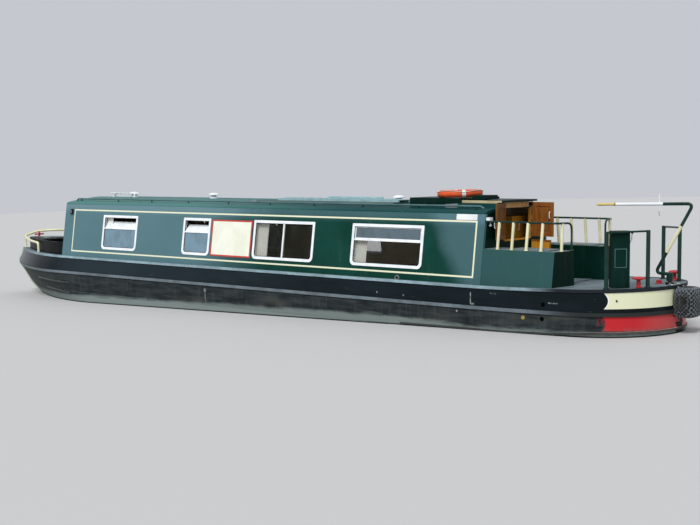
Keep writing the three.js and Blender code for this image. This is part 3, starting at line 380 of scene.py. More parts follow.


# glossy black above the middle strake under a painted sky sheen, dusty blacking below, pale along the
# waterline
def hullPaint():
    material, tree, shader = startMaterial("hullBlacking")
    coords = coordsOf(tree)
    x, y, z = axesOf(tree, coords)
    level = levelOf(tree, x, z)
    upper = step(tree, level, plating["glossFrom"], plating["glossFrom"] + 0.005)
    aboveWater = calc(tree, "SUBTRACT", z,
                      calc(tree, "ADD", calc(tree, "MULTIPLY", x, water["slope"]), plating["waterAt"]))
    patches = noise(tree, coords, 1.4, 5, 0.6, (0.5, 1, 1.8))
    streaks = noise(tree, coords, 9, 6, 0.65, (1.2, 1.2, 0.2))
    smears = noise(tree, coords, 6, 5, 0.65, (0.35, 1, 2.2))
    fine = noise(tree, coords, 45, 4, 0.7)
    # painted sky reflection: a paler sheen on the gloss, fading out before the bow
    paintedSheen = step(tree, calc(tree, "ADD", x, calc(tree, "MULTIPLY", patches, 5)),
                 plating["sheenFrom"], plating["sheenTo"])
    paintedSheen = calc(tree, "MULTIPLY", paintedSheen, step(tree, x, plating["sheenEnd"], plating["bowFrom"]))
    gloss = mixed(tree, step(tree, patches, 0.3, 0.75), shades["glossDark"], shades["glossLight"])
    gloss = mixed(tree, calc(tree, "MULTIPLY", paintedSheen, 0.7), gloss, shades["paintedSheen"])
    scuffs = calc(tree, "MULTIPLY", step(tree, noise(tree, coords, 14, 5, 0.7, (0.35, 1, 3.5)), 0.63, 0.74),
                  0.4)
    gloss = mixed(tree, scuffs, gloss, shades["scuff"])
    dusty = mixed(tree, step(tree, smears, 0.3, 0.7), shades["dullDark"], shades["dullLight"])
    dusty = mixed(tree, calc(tree, "MULTIPLY", step(tree, streaks, 0.48, 0.75), 0.35),
                  dusty, shades["streak"])
    dusty = mixed(tree, calc(tree, "MULTIPLY", step(tree, patches, 0.5, 0.72), 0.5), dusty, shades["dust"])
    dusty = mixed(tree, calc(tree, "MULTIPLY", step(tree, x, plating["bowFrom"], plating["bowTo"]), 0.5),
                  dusty, shades["bowDust"])
    tideTop = calc(tree, "ADD", calc(tree, "MULTIPLY", smears, 0.12), plating["tide"])
    lower = calc(tree, "MULTIPLY", step(tree, x, -3.2, -4.6), plating["tide"])   # no mark at the stern
    tideTop = calc(tree, "SUBTRACT", tideTop, lower)
    tide = step(tree, calc(tree, "SUBTRACT", aboveWater, tideTop), 0.035, -0.045)
    dusty = mixed(tree, calc(tree, "MULTIPLY", tide, 0.85), dusty, shades["tideMark"])
    wet = step(tree, aboveWater, plating["wetTo"], plating["wetFrom"])
    dusty = mixed(tree, wet, dusty, shades["wet"])
    rust = calc(tree, "MULTIPLY", step(tree, noise(tree, coords, 5.5, 6, 0.75), 0.62, 0.72), 0.45)
    dusty = mixed(tree, rust, dusty, shades["rust"])
    base = mixed(tree, upper, dusty, gloss)
    port = step(tree, y, 0.0, 0.1)
    for mark in scrapes:
        across = within(tree, x, mark["x"] - mark["half"], mark["x"] + mark["half"], 0.003)
        along = within(tree, z, mark["z0"], mark["z1"], 0.008)
        broken = step(tree, noise(tree, coords, 30, 3, 0.7), 0.35, 0.6)
        mask = calc(tree, "MULTIPLY", calc(tree, "MULTIPLY", across, along),
                    calc(tree, "MULTIPLY", broken, mark["amount"]))
        base = mixed(tree, calc(tree, "MULTIPLY", mask, port), base, shades["scrape"])
    for name in ("cream", "red"):
        band = bands[name]
        fill, rim = bandMask(tree, x, level, band)
        tone = mixed(tree, calc(tree, "MULTIPLY", patches, 0.3), band["color"],
                     [c * 0.85 for c in band["color"]])
        if name == "red":   # the red fades to pink round the stern and is scuffed at its foot
            faded = step(tree, x, -6.75, -7.02)
            tone = mixed(tree, calc(tree, "MULTIPLY", faded, 0.35), tone, shades["fadedRed"])
            foot = calc(tree, "MULTIPLY", step(tree, level, 0.80, 0.74), step(tree, streaks, 0.35, 0.65))
            tone = mixed(tree, calc(tree, "MULTIPLY", foot, 0.6), tone, shades["scuffedRed"])
        worn = calc(tree, "SUBTRACT", 1, calc(tree, "MULTIPLY", step(tree, fine, 0.66, 0.72), 0.5))
        base = mixed(tree, calc(tree, "MULTIPLY", fill, worn), base, tone)
        if name == "cream":
            base = mixed(tree, rim, base, shades["rim"])
        upper = calc(tree, "MAXIMUM", upper, fill)
    area = calc(tree, "MULTIPLY", within(tree, x, splashBox["x0"], splashBox["x1"], 0.02),
                within(tree, level, splashBox["z0"], splashBox["z1"], 0.02))
    drops = step(tree, noise(tree, coords, 24, 4, 0.7), 0.5, 0.6)
    splash = calc(tree, "MULTIPLY", calc(tree, "MULTIPLY", area, drops), port)
    base = mixed(tree, calc(tree, "MULTIPLY", splash, 0.7), base, shades["splash"])
    setColor(tree, shader, base)
    rough = put(tree, "ShaderNodeMapRange",
                {"Value": upper, "To Min": plating["roughDull"],
                 "To Max": plating["roughGloss"]}).outputs["Result"]
    tree.links.new(calc(tree, "ADD", rough, calc(tree, "MULTIPLY", scuffs, 0.5), True),
                   shader.inputs["Roughness"])
    shader.inputs["Specular IOR Level"].default_value = 0.09
    dents = calc(tree, "ADD", noise(tree, coords, 1.6, 3, 0.5), calc(tree, "MULTIPLY", fine, 0.06))
    addBump(tree, shader, dents, 0.5, 0.008)
    return material


# worn edge steel: pale where it rubs, paler at the stem, black round the counter
def strakePaint(name, light, bowLight, sternDark, aftStart=-5.9, aftEnd=-6.5):
    material, tree, shader = startMaterial(name)
    coords = coordsOf(tree)
    x = axesOf(tree, coords)[0]
    wear = noise(tree, coords, 6, 6, 0.7, (0.5, 1, 1))
    spots = noise(tree, coords, 28, 5, 0.75)
    base = mixed(tree, step(tree, wear, 0.3, 0.7), [c * 0.55 for c in light], light)
    base = mixed(tree, calc(tree, "MULTIPLY", step(tree, spots, 0.58, 0.7), 0.6), base, (0.045, 0.042, 0.040))
    base = mixed(tree, calc(tree, "MULTIPLY", step(tree, noise(tree, coords, 11, 5, 0.7), 0.6, 0.7), 0.5),
                 base, (0.19, 0.12, 0.075))
    base = mixed(tree, step(tree, x, 4.2, 6.6), base,
                 mixed(tree, spots, bowLight, [c * 0.7 for c in bowLight]))
    base = mixed(tree, step(tree, x, aftStart, aftEnd), base,
                 mixed(tree, wear, sternDark, [c * 2.2 for c in sternDark]))
    setColor(tree, shader, base)
    setRough(tree, shader, wear, 0.45, 0.8)
    shader.inputs["Specular IOR Level"].default_value = 0.25
    addBump(tree, shader, spots, 0.4, 0.0015)
    return material


def woodFinish(name, light, dark, gloss=0.3, grain=(9, 9, 0.6), shine=0.3):
    material, tree, shader = startMaterial(name)
    coords = coordsOf(tree)
    turned = put(tree, "ShaderNodeMapping", {"Vector": coords, "Scale": grain}).outputs[0]
    rings = noise(tree, turned, 3.0, 6, 0.65)
    lines = noise(tree, turned, 14.0, 4, 0.7)
    patch = noise(tree, coords, 2.3, 3)
    base = mixed(tree, step(tree, rings, 0.3, 0.7), dark, light)
    base = mixed(tree, calc(tree, "MULTIPLY", step(tree, lines, 0.5, 0.65), 0.35), base,
                 [c * 0.45 for c in dark])
    base = mixed(tree, calc(tree, "MULTIPLY", patch, 0.25), base, [c * 0.8 for c in light])
    setColor(tree, shader, base)
    setRough(tree, shader, rings, gloss, gloss * 1.8)
    shader.inputs["Specular IOR Level"].default_value = shine
    addBump(tree, shader, lines, 0.2, 0.0008)
    return material


def deckPaint(name, color, shade, scale=1.0, studs=False):
    material, tree, shader = startMaterial(name)
    coords = coordsOf(tree)
    patch = noise(tree, coords, 2.4 * scale, 5, 0.65)
    grit = noise(tree, coords, 160, 2, 0.5)
    base = mixed(tree, step(tree, patch, 0.32, 0.7), shade, color)
    base = mixed(tree, calc(tree, "MULTIPLY", step(tree, noise(tree, coords, 13, 5, 0.7), 0.6, 0.75), 0.4),
                 base, (0.06, 0.065, 0.06))
    setColor(tree, shader, base)
    shader.inputs["Roughness"].default_value = 0.62
    shader.inputs["Specular IOR Level"].default_value = 0.3
    height = grit
    if studs:   # raised lozenges of tread plate
        bars = put(tree, "ShaderNodeTexWave", {"Vector": coords, "Scale": 14.0, "Distortion": 0.0},
                   bands_direction="DIAGONAL")
        height = calc(tree, "ADD", step(tree, bars.outputs[1], 0.72, 0.8), calc(tree, "MULTIPLY", grit, 0.2))
    addBump(tree, shader, height, 0.5, 0.0015)
    return material


# dark glass with slow upright blotches, so that it does not look empty
def glassPane(name, tint, streakTint, alpha, rough=0.02, shine=0.3):
    material, tree, shader = startMaterial(name)
    coords = coordsOf(tree)
    blotch = noise(tree, coords, 6.5, 5, 0.62, (1, 1, 0.55))
    smear = noise(tree, coords, 2.2, 3, 0.5, (1, 1, 0.4))
    tone = mixed(tree, step(tree, blotch, 0.42, 0.66), tint, streakTint)
    setColor(tree, shader, mixed(tree, calc(tree, "MULTIPLY", smear, 0.4), tone, [c * 1.3 for c in tint]))
    setRough(tree, shader, smear, rough, rough + 0.05)
    shader.inputs["Alpha"].default_value = alpha
    shader.inputs["Specular IOR Level"].default_value = shine
    return material


def metalFinish(name, color, rough=0.25, metallic=1.0, tarnish=0.3):
    material, tree, shader = startMaterial(name)
    coords = coordsOf(tree)
    stain = noise(tree, coords, 9, 5, 0.65)
    dulled = calc(tree, "MULTIPLY", stain, tarnish)
    setColor(tree, shader, mixed(tree, dulled, color, [c * 0.4 for c in color]))
    setRough(tree, shader, stain, rough, rough + 0.25)
    shader.inputs["Metallic"].default_value = metallic
    addBump(tree, shader, noise(tree, coords, 70, 3), 0.1, 0.0006)
    return material


def ropeFinish(name, light, dark, twist=260.0):
    material, tree, shader = startMaterial(name)
    coords = coordsOf(tree)
    strand = put(tree, "ShaderNodeTexWave",
                 {"Vector": coords, "Scale": twist / 6.3, "Distortion": 3.0, "Detail": 2.0},
                 bands_direction="DIAGONAL").outputs[1]
    fuzz = noise(tree, coords, 120, 4, 0.7)
    tone = mixed(tree, strand, dark, light)
    setColor(tree, shader, mixed(tree, calc(tree, "MULTIPLY", fuzz, 0.5), tone, [c * 0.7 for c in light]))
    shader.inputs["Roughness"].default_value = 0.9
    shader.inputs["Sheen Weight"].default_value = 0.25
    addBump(tree, shader, calc(tree, "ADD", strand, calc(tree, "MULTIPLY", fuzz, 0.4)), 0.7, 0.002)
    return material


def clothFinish(name, color, shade):
    material, tree, shader = startMaterial(name)
    coords = coordsOf(tree)
    weave = noise(tree, coords, 420, 2, 0.5)
    fold = noise(tree, coords, 4, 3)
    setColor(tree, shader, mixed(tree, fold, color, shade))
    shader.inputs["Roughness"].default_value = 0.85
    shader.inputs["Sheen Weight"].default_value = 0.2
    addBump(tree, shader, weave, 0.3, 0.0006)
    return material


mat = {
    "hull": hullPaint(),
    "gunwale": strakePaint("gunwaleEdge", lit(156, 182, 192), lit(120, 134, 140), lit(14, 22, 28), -5.2,
                           -5.9),
    "strake": strakePaint("rubbingStrake", lit(118, 130, 138), lit(112, 124, 128), lit(26, 30, 30), -5.2,
                          -6.2),
    # guard paints: a dark copy for the sides and a light one for the top, as painted shade and light
    "guard": strakePaint("lowerGuardShaded", lit(62, 68, 66), lit(110, 118, 118), lit(60, 58, 56), -6.2, -6.6),
    "guardLitTop": strakePaint("guardLitEdge", lit(132, 142, 136), lit(120, 130, 132), lit(178, 140, 134), -6.0,
                            -6.5),
    "stem": strakePaint("stemBar", lit(178, 192, 180), lit(188, 204, 182), lit(20, 20, 20)),
    "bilge": plainPaint("bilgeBlack", lit(44, 46, 46), lit(66, 62, 56), 0.7, 0.1),
    "inner": plainPaint("wellBlack", lit(16, 20, 22), lit(26, 31, 34), 0.5, 0.1, dust=0.1),
    "side": greenPaint("cabinGreen", True),
    "green": greenPaint("fittingGreen", False, 0.4),
    "locker": greenPaint("lockerGreen", False, 0.5),
    "roof": roofPaint(),
    # very dark green paint, also laid as painted shade on the rear wall's aft face and on the lockers' aft
    # ends and inner sides
    "darkGreenAndShade": plainPaint("shadeGreen", lit(4, 32, 24), lit(10, 42, 36), 0.35, 0.06, 1.5, dust=0.02),
    "railGreen": plainPaint("railGreen", lit(8, 42, 34), lit(16, 54, 46), 0.25, 0.25, 3, 0.25,
                            lit(84, 104, 98), 0.05),
    # pale teal: a painted glint on the green roof handrails, and the pale frame of the console panel
    "paleRailAndGlint": plainPaint("paleRailAndGlint", lit(86, 118, 122), lit(66, 98, 100), 0.3, 0.4, 3, 0.25,
                           lit(140, 150, 150), 0.1),
    "black": plainPaint("coamingBlack", lit(9, 12, 15), lit(17, 21, 25), 0.35, 0.05, 2, 0.1,
                        lit(80, 80, 82), 0.03),
    # near black: painted shade for the inside of holes
    "bore": plainPaint("boreShade", lit(3, 3, 4), lit(6, 6, 7), 0.7, 0.02, dust=0.0),
    "deck": deckPaint("deckGrey", lit(116, 130, 136), lit(90, 102, 106)),
    "tread": deckPaint("treadPlate", lit(112, 124, 130), lit(88, 98, 102), 1.5, True),
    "lockerTop": deckPaint("lockerTopGrey", lit(124, 136, 138), lit(98, 110, 110)),
    "cream": plainPaint("creamPaint", lit(232, 230, 190), lit(214, 208, 168), 0.35, 0.3, 3, 0.3,
                        lit(150, 140, 110), 0.15),
    "red": plainPaint("redPaint", lit(200, 44, 44), lit(168, 34, 38), 0.3, 0.4, 6, 0.4, lit(140, 100, 92),
                      0.1),
    "white": plainPaint("whitePaint", lit(240, 243, 244), lit(226, 230, 232), 0.35, 0.3, 5, 0.15,
                        lit(170, 170, 166), 0.1),
    "frame": plainPaint("windowWhite", lit(248, 251, 253), lit(232, 237, 240), 0.3, 0.3, 8, dust=0.12),
    "seal": plainPaint("sealRubber", lit(24, 25, 26), lit(44, 44, 44), 0.6, 0.1, 10),
    "glass": glassPane("clearGlass", lit(22, 26, 14), lit(60, 70, 54), 0.16, 0.02, 0.5),
    "hazyGlass": glassPane("hazyGlass", lit(118, 146, 162), lit(104, 126, 136), 0.93, 0.08),
    # near-opaque blue-grey: painted sky reflection on the shut upper panes and the lamp glass
    "skyReflectionGlass": glassPane("skyReflectionPane", lit(96, 112, 122), lit(84, 98, 96), 0.85, 0.05),
    "hopper": glassPane("hopperGlass", lit(236, 242, 246), lit(212, 222, 228), 0.96, 0.12),
    "wood": woodFinish("doorWood", lit(150, 92, 36), lit(112, 62, 22)),
    # darker copy of the door wood: painted shade on the port rear leaf
    "shadedDoorWood": woodFinish("doorWoodInShade", lit(128, 78, 18), lit(92, 54, 10)),
    "gold": woodFinish("goldenWood", lit(214, 150, 44), lit(176, 114, 28)),
    # header wood lightened beyond its own colour as painted sky light on its aft face
    "skyLitHeader": woodFinish("headerWood", lit(220, 172, 112), lit(190, 142, 86), 0.4, (1.2, 5, 9)),
    "edgeWood": woodFinish("edgeWood", lit(206, 196, 160), lit(176, 160, 122), 0.45, (0.6, 9, 9)),
    "grip": woodFinish("gripWood", lit(236, 216, 148), lit(206, 176, 104), 0.3, (0.6, 9, 9)),
    "pole": woodFinish("poleWood", lit(92, 112, 104), lit(64, 84, 78), 0.45, (0.5, 9, 9)),
    "ply": woodFinish("floorPly", lit(150, 124, 92), lit(126, 100, 70), 0.6, (0.6, 5, 5), 0.2),
    "plank": deckPaint("plankGrey", lit(166, 200, 206), lit(140, 174, 178), 2.0),
    "brass": metalFinish("brassFittings", (0.62, 0.44, 0.16)),
    "bronze": metalFinish("screwBronze", (0.50, 0.34, 0.15), 0.35),
    "steel": metalFinish("steelFittings", (0.42, 0.43, 0.44), 0.3),
    "chrome": metalFinish("bright", (0.75, 0.76, 0.77), 0.12, tarnish=0.1),
    "iron": metalFinish("engineBlue", (0.03, 0.06, 0.075), 0.55, 0.3),
    "net": ropeFinish("fenderCord", lit(112, 122, 128), lit(48, 54, 60), 180),
    "paleRope": ropeFinish("paleRope", lit(226, 222, 206), lit(168, 160, 142)),
    "orange": plainPaint("buoyOrange", lit(228, 98, 50), lit(212, 84, 42), 0.45, 0.25, 5, 0.2,
                         lit(236, 176, 144), 0.08),
    "curtain": clothFinish("curtainCloth", lit(246, 246, 238), lit(226, 226, 214)),
    "ceiling": plainPaint("ceilingWhite", lit(200, 196, 186), lit(184, 180, 170), 0.6, 0.1, dust=0.0),
    "sign": plainPaint("signCream", lit(243, 245, 228), lit(234, 234, 214), 0.4, 0.2, 4, 0.1,
                       lit(200, 190, 160), 0.08),
    "signRed": plainPaint("signRed", lit(206, 78, 70), lit(186, 62, 56), 0.4, 0.2, 6, 0.1,
                          lit(214, 180, 160), 0.08),
}
print("materials made:", len(mat))


# mesh helpers: a shape is (vertices, faces)
def boxShape(x0, x1, y0, y1, z0, z1):
    points = [(x, y, z) for z in (z0, z1) for x, y in ((x0, y0), (x1, y0), (x1, y1), (x0, y1))]
    return points, [(0, 3, 2, 1), (4, 5, 6, 7), (0, 1, 5, 4), (1, 2, 6, 5), (2, 3, 7, 6), (3, 0, 4, 7)]


def bendPath(points, radius, steps=6):
    corners = [Vector(p) for p in points]
    out = [corners[0]]
    for before, here, after in zip(corners, corners[1:], corners[2:]):
        back = before - here
        ahead = after - here
        reach = min(radius, back.length * 0.45, ahead.length * 0.45)
        a = here + back.normalized() * reach
        b = here + ahead.normalized() * reach
        for i in range(steps + 1):
            t = i / steps
            out.append(a * (1 - t) ** 2 + here * 2 * t * (1 - t) + b * t * t)
    return out + [corners[-1]]


def sweepShape(rings):
    n = len(rings[0])
    points = [p for ring in rings for p in ring]
    faces = []
    for k in range(len(rings) - 1):
        for i in range(n):
            j = (i + 1) % n
            faces.append((k * n + i, k * n + j, (k + 1) * n + j, (k + 1) * n + i))
    faces.append(tuple(range(n - 1, -1, -1)))
    last = (len(rings) - 1) * n
    faces.append(tuple(last + i for i in range(n)))
    return points, faces


def tubeShape(points, radius, sides=16, bend=0.0, steps=6, radii=None):
    path = bendPath(points, bend, steps) if bend else [Vector(p) for p in points]
    side = None
    rings = []
    for i, here in enumerate(path):
        way = (path[min(i + 1, len(path) - 1)] - path[max(i - 1, 0)]).normalized()
        if side is None:
            side = Vector((0, 0, 1)) if abs(way.z) < 0.9 else Vector((1, 0, 0))
        side = (side - way * side.dot(way)).normalized()
        other = way.cross(side)
        r = radii[i] if radii else radius
        turns = [2 * math.pi * k / sides for k in range(sides)]
        rings.append([here + side * r * math.cos(a) + other * r * math.sin(a) for a in turns])
    return sweepShape(rings)


def latheShape(profile, centre, sides=32, axis="Z"):
    rings = []
    for radius, height in profile:
        r = max(radius, 0.0004)
        ring = [(r * math.cos(2 * math.pi * k / sides), r * math.sin(2 * math.pi * k / sides),
                 height) for k in range(sides)]
        if axis == "X":
            ring = [(h, a, b) for a, b, h in ring]
        if axis == "Y":
            ring = [(b, h, a) for a, b, h in ring]
        rings.append([Vector(p) + Vector(centre) for p in ring])
    return sweepShape(rings)


# flat outline of (a, b) points given a thickness; place(a, b, d) is where each corner goes
def plateShape(outline, depth, place):
    points = [place(a, b, 0) for a, b in outline] + [place(a, b, depth) for a, b in outline]
    n = len(outline)
    faces = [tuple(range(n)), tuple(range(2 * n - 1, n - 1, -1))]
    faces += [(i, n + i, n + (i + 1) % n, (i + 1) % n) for i in range(n)]
    return points, faces


# closed band between two outlines with the same number of points
def ringShape(outer, inner, depth, place):
    n = len(outer)
    loops = [(outer, 0), (outer, depth), (inner, depth), (inner, 0)]
    points = [place(a, b, d) for line, d in loops for a, b in line]
    faces = []
    for k in range(4):
        m = (k + 1) % 4
        for i in range(n):
            j = (i + 1) % n
            faces.append((k * n + i, k * n + j, m * n + j, m * n + i))
    return points, faces


def roundedBox(x0, x1, z0, z1, low, high, steps=6):
    points = []
    for cx, cz, r, start in ((x0 + low, z0 + low, low, math.pi), (x1 - low, z0 + low, low, 1.5 * math.pi),
                             (x1 - high, z1 - high, high, 0), (x0 + high, z1 - high, high, 0.5 * math.pi)):
        for i in range(steps + 1):
            a = start + math.pi / 2 * i / steps
            points.append((cx + r * math.cos(a), cz + r * math.sin(a)))
    return points


def turnedShape(shape, angle, pivot):
    spin = Matrix.Translation(Vector(pivot)) @ Matrix.Rotation(angle, 4, "Z")
    return [spin @ Vector(p) for p in shape[0]], shape[1]


# a small ring lying flat, as on a lifting lid
def ringLoop(x, y, z, radius=0.022, steps=16):
    turns = [2 * math.pi * k / steps for k in range(steps + 1)]
    return tubeShape([(x + radius * math.cos(a), y + radius * math.sin(a), z) for a in turns], 0.0035, 8)


def ballShape(centre, radius, sides=14):
    profile = [(radius * math.sin(math.pi * i / 8), -radius * math.cos(math.pi * i / 8)) for i in range(9)]
    return latheShape(profile, centre, sides)


# parts are (shape, material name); every closed shape gets its faces turned outwards
def joinShapes(parts):
    whole = bmesh.new()
    names = []
    for shape, paint in parts:
        if paint not in names:
            names.append(paint)
        one = bmesh.new()
        made = [one.verts.new(p) for p in shape[0]]
        for face in shape[1]:
            one.faces.new([made[i] for i in face])
        bmesh.ops.recalc_face_normals(one, faces=one.faces)
        if one.calc_volume(signed=True) < 0:
            bmesh.ops.reverse_faces(one, faces=one.faces)
        copied = {v: whole.verts.new(v.co) for v in one.verts}
        for face in one.faces:
            new = whole.faces.new([copied[v] for v in face.verts])
            new.material_index = names.index(paint)
        one.free()
    return whole, names


def roundEdges(made, width, harden=False):
    rounding = made.modifiers.new("edges", "BEVEL")
    rounding.width = width
    rounding.segments = 2
    rounding.limit_method = "ANGLE"
    rounding.angle_limit = math.radians(40)
    rounding.harden_normals = harden


def makePiece(name, parts, body, hides=(), smoothAngle=35, bevel=0.0):
    whole, names = joinShapes(parts)
    mesh = bpy.data.meshes.new(name)
    whole.to_mesh(mesh)
    whole.free()
    for paint in names:
        mesh.materials.append(mat[paint])
    mesh.shade_smooth()
    mesh.set_sharp_from_angle(angle=math.radians(smoothAngle))
    made = bpy.data.objects.new(name, mesh)
    bpy.context.scene.collection.objects.link(made)
    if bevel:
        roundEdges(made, bevel, True)
    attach(made, body)
    if hides:
        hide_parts(*hides)


# empty node tree with a mesh input and one named number for each size
def startTree(name, sizes):
    tree = bpy.data.node_groups.new(name, "GeometryNodeTree")
    tree.interface.new_socket(name="Geometry", in_out="INPUT", socket_type="NodeSocketGeometry")
    for label, value in sizes.items():
        tree.interface.new_socket(name=label, in_out="INPUT",
                                  socket_type="NodeSocketFloat").default_value = value
    tree.interface.new_socket(name="Geometry", in_out="OUTPUT", socket_type="NodeSocketGeometry")
    return tree, tree.nodes.new("NodeGroupInput"), tree.nodes.new("NodeGroupOutput")


def endTree(tree, last, end, paint):
    realize = tree.nodes.new("GeometryNodeRealizeInstances")
    color = tree.nodes.new("GeometryNodeSetMaterial")
    color.inputs["Material"].default_value = mat[paint]
    tree.links.new(last, realize.inputs["Geometry"])
    tree.links.new(realize.outputs["Geometry"], color.inputs["Geometry"])
    tree.links.new(color.outputs["Geometry"], end.inputs["Geometry"])


# a round cord along every line of the mesh
def cordTree(paint):
    tree, start, end = startTree("cords", {"Cord radius": 0.008})
    curve = tree.nodes.new("GeometryNodeMeshToCurve")
    ring = tree.nodes.new("GeometryNodeCurvePrimitiveCircle")
    ring.inputs["Resolution"].default_value = 6
    skin = tree.nodes.new("GeometryNodeCurveToMesh")
    skin.inputs["Fill Caps"].default_value = True
    tree.links.new(start.outputs["Geometry"], curve.inputs["Mesh"])
    tree.links.new(start.outputs["Cord radius"], ring.inputs["Radius"])
    tree.links.new(curve.outputs["Curve"], skin.inputs["Curve"])
    tree.links.new(ring.outputs["Curve"], skin.inputs["Profile Curve"])
    endTree(tree, skin.outputs["Mesh"], end, paint)
    return tree


# a low round head on every point of the mesh, turned about the x axis
def studTree(paint):
    tree, start, end = startTree("studs", {"Head radius": 0.005, "Head height": 0.003, "Lean": 0.0})
    head = tree.nodes.new("GeometryNodeMeshCylinder")
    head.inputs["Vertices"].default_value = 10
    turn = tree.nodes.new("ShaderNodeCombineXYZ")
    spread = tree.nodes.new("GeometryNodeInstanceOnPoints")
    tree.links.new(start.outputs["Head radius"], head.inputs["Radius"])
    tree.links.new(start.outputs["Head height"], head.inputs["Depth"])
    tree.links.new(start.outputs["Lean"], turn.inputs["X"])
    tree.links.new(start.outputs["Geometry"], spread.inputs["Points"])
    tree.links.new(head.outputs["Mesh"], spread.inputs["Instance"])
    tree.links.new(turn.outputs["Vector"], spread.inputs["Rotation"])
    endTree(tree, spread.outputs["Instances"], end, paint)
    return tree


# the plain mesh that a tree makes from these points and edges
def grown(name, points, edges, tree, sizes):
    mesh = bpy.data.meshes.new(name)
    mesh.from_pydata([tuple(p) for p in points], edges, [])
    seed = bpy.data.objects.new(name, mesh)
    bpy.context.scene.collection.objects.link(seed)
    rule = seed.modifiers.new("rule", "NODES")
    rule.node_group = tree
    for socket in tree.interface.items_tree:
        if socket.in_out == "INPUT" and socket.name in sizes:
            rule[socket.identifier] = sizes[socket.name]
    view = bpy.context.evaluated_depsgraph_get()
    made = bpy.data.meshes.new_from_object(seed.evaluated_get(view))
    bpy.data.objects.remove(seed)
    return made


# grown meshes of one paint put together as one piece
def grownPiece(name, meshes, body, smoothAngle=40):
    whole = bmesh.new()
    for mesh in meshes:
        whole.from_mesh(mesh)
    final = bpy.data.meshes.new(name)
    whole.to_mesh(final)
    whole.free()
    final.materials.append(meshes[0].materials[0])
    final.shade_smooth()
    final.set_sharp_from_angle(angle=math.radians(smoothAngle))
    made = bpy.data.objects.new(name, final)
    bpy.context.scene.collection.objects.link(made)
    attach(made, body)


# the same solid with its corners merged, shaded smooth and painted face by face
def smoothCopy(node, paints, choose, name, body, smoothAngle=32, bevel=0.0):
    mesh = nodes[node].data.copy()
    mesh.materials.clear()
    for paint in paints:
        mesh.materials.append(mat[paint])
    work = bmesh.new()
    work.from_mesh(mesh)
    bmesh.ops.remove_doubles(work, verts=work.verts, dist=0.00002)
    bmesh.ops.dissolve_degenerate(work, edges=work.edges, dist=0.00002)
    if bevel:
        bmesh.ops.dissolve_limit(work, angle_limit=math.radians(0.6), verts=work.verts, edges=work.edges)
    for face in work.faces:
        face.material_index = choose(face.calc_center_median(), face.normal)
        face.smooth = True
    work.to_mesh(mesh)
    work.free()
    if mesh.attributes.get("custom_normal"):
        mesh.attributes.remove(mesh.attributes["custom_normal"])
    mesh.set_sharp_from_angle(angle=math.radians(smoothAngle))
    made = bpy.data.objects.new(name, mesh)
    bpy.context.scene.collection.objects.link(made)
    if bevel:
        roundEdges(made, bevel)
    weighted = made.modifiers.new("shading", "WEIGHTED_NORMAL")
    weighted.keep_sharp = True
    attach(made, body)
    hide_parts(node)


# hull form, as the part has it, metres
stemTable = [
    {"z": 0.0, "tip": 6.0, "shoulder": 2.9, "half": 1.005},
    {"z": 0.12, "tip": 6.23, "shoulder": 3.1, "half": 1.022},
    {"z": 0.33, "tip": 6.545, "shoulder": 3.55, "half": 1.022},
    {"z": 0.53, "tip": 6.86, "shoulder": 3.9, "half": 1.022},
    {"z": 0.72, "tip": 7.06, "shoulder": 4.3, "half": 1.022},
    {"z": 0.91, "tip": 7.28, "shoulder": 4.75, "half": 1.022},
    {"z": 0.98, "tip": 7.29, "shoulder": 4.8, "half": 1.022},
    {"z": 1.08, "tip": 7.205, "shoulder": 4.7, "half": 1.005},
    {"z": 1.22, "tip": 7.125, "shoulder": 4.55, "half": 0.97},
]
hullForm = {"half": 1.022, "sternStart": -6.0, "sternLength": 1.05, "lowInset": 0.02, "deck": 1.22}


def smoothed(t):
    s = min(max(t, 0), 1)
    return s * s * (3 - 2 * s)


def stemAt(z):
    i = 0
    while i < len(stemTable) - 2 and z > stemTable[i + 1]["z"]:
        i += 1
    low, high = stemTable[i], stemTable[i + 1]
    t = (z - low["z"]) / (high["z"] - low["z"])
    return [low[k] + (high[k] - low[k]) * t for k in ("tip", "shoulder", "half")]


def bowHalf(x, z, grow=0.0):
    tip, shoulder, half = stemAt(z)
    here = hullForm["half"] + (half - hullForm["half"]) * smoothed((x - shoulder + 1.3) / 1.3) + grow
    if x <= shoulder:
        return here
    return here * (1 - min((x - shoulder) / (tip + grow - shoulder), 1) ** 1.65)


def counterHalf(x, z, grow=0.0):
    low = smoothed((0.76 - z) / 0.2)
    half = hullForm["half"] - 0.024 * low + grow
    if x >= hullForm["sternStart"]:
        return half
    t = min((hullForm["sternStart"] - x) / (hullForm["sternLength"] - hullForm["lowInset"] * low + grow), 1)
    return half * math.sqrt(max(1 - t ** 2.1, 0))


def sheerAt(x):
    if x >= sheerData["start"]:
        return 0.0
    return sheerData["rate"] * ((sheerData["start"] - x) / sheerData["run"]) ** 1.5


def deckAt(x):
    return hullForm["deck"] + sheerAt(x)


def flatLevel(x, z):
    rise = sheerAt(x)
    return (z + rise * sheerData["low"] / sheerData["span"]) / (1 + rise / sheerData["span"])


# 0 plating, 1 gunwale edge, 2 guard sides, darker as painted shade, 3 stem bar, 4 deck, 5 inside, 6 top of
# the guard, lighter as painted light
def hullFace(centre, normal):
    x, y, z = centre
    level = flatLevel(x, z)
    half = min(bowHalf(x, level), counterHalf(x, level))
    if level > 1.17 and abs(y) > half - 0.0275:
        return 1 if level > 1.187 or abs(y) > half + 0.003 else 0
    if x > stemAt(min(z, 1.22))[0] - 0.045 and abs(y) < 0.03 and z > 0.33:
        return 3
    if normal.z > 0.8 and level > 1.19:
        return 4
    # the guard's upward faces take the light paint and its sides the dark, as painted light and shade
    if abs(y) > half + 0.0025 and 0.52 < z < 0.80:
        return 6 if normal.z > 0.5 else 2
    if abs(y) < half - 0.02 and level > 0.58:
        return 5
    return 0


def oneFace(centre, normal):
    return 0


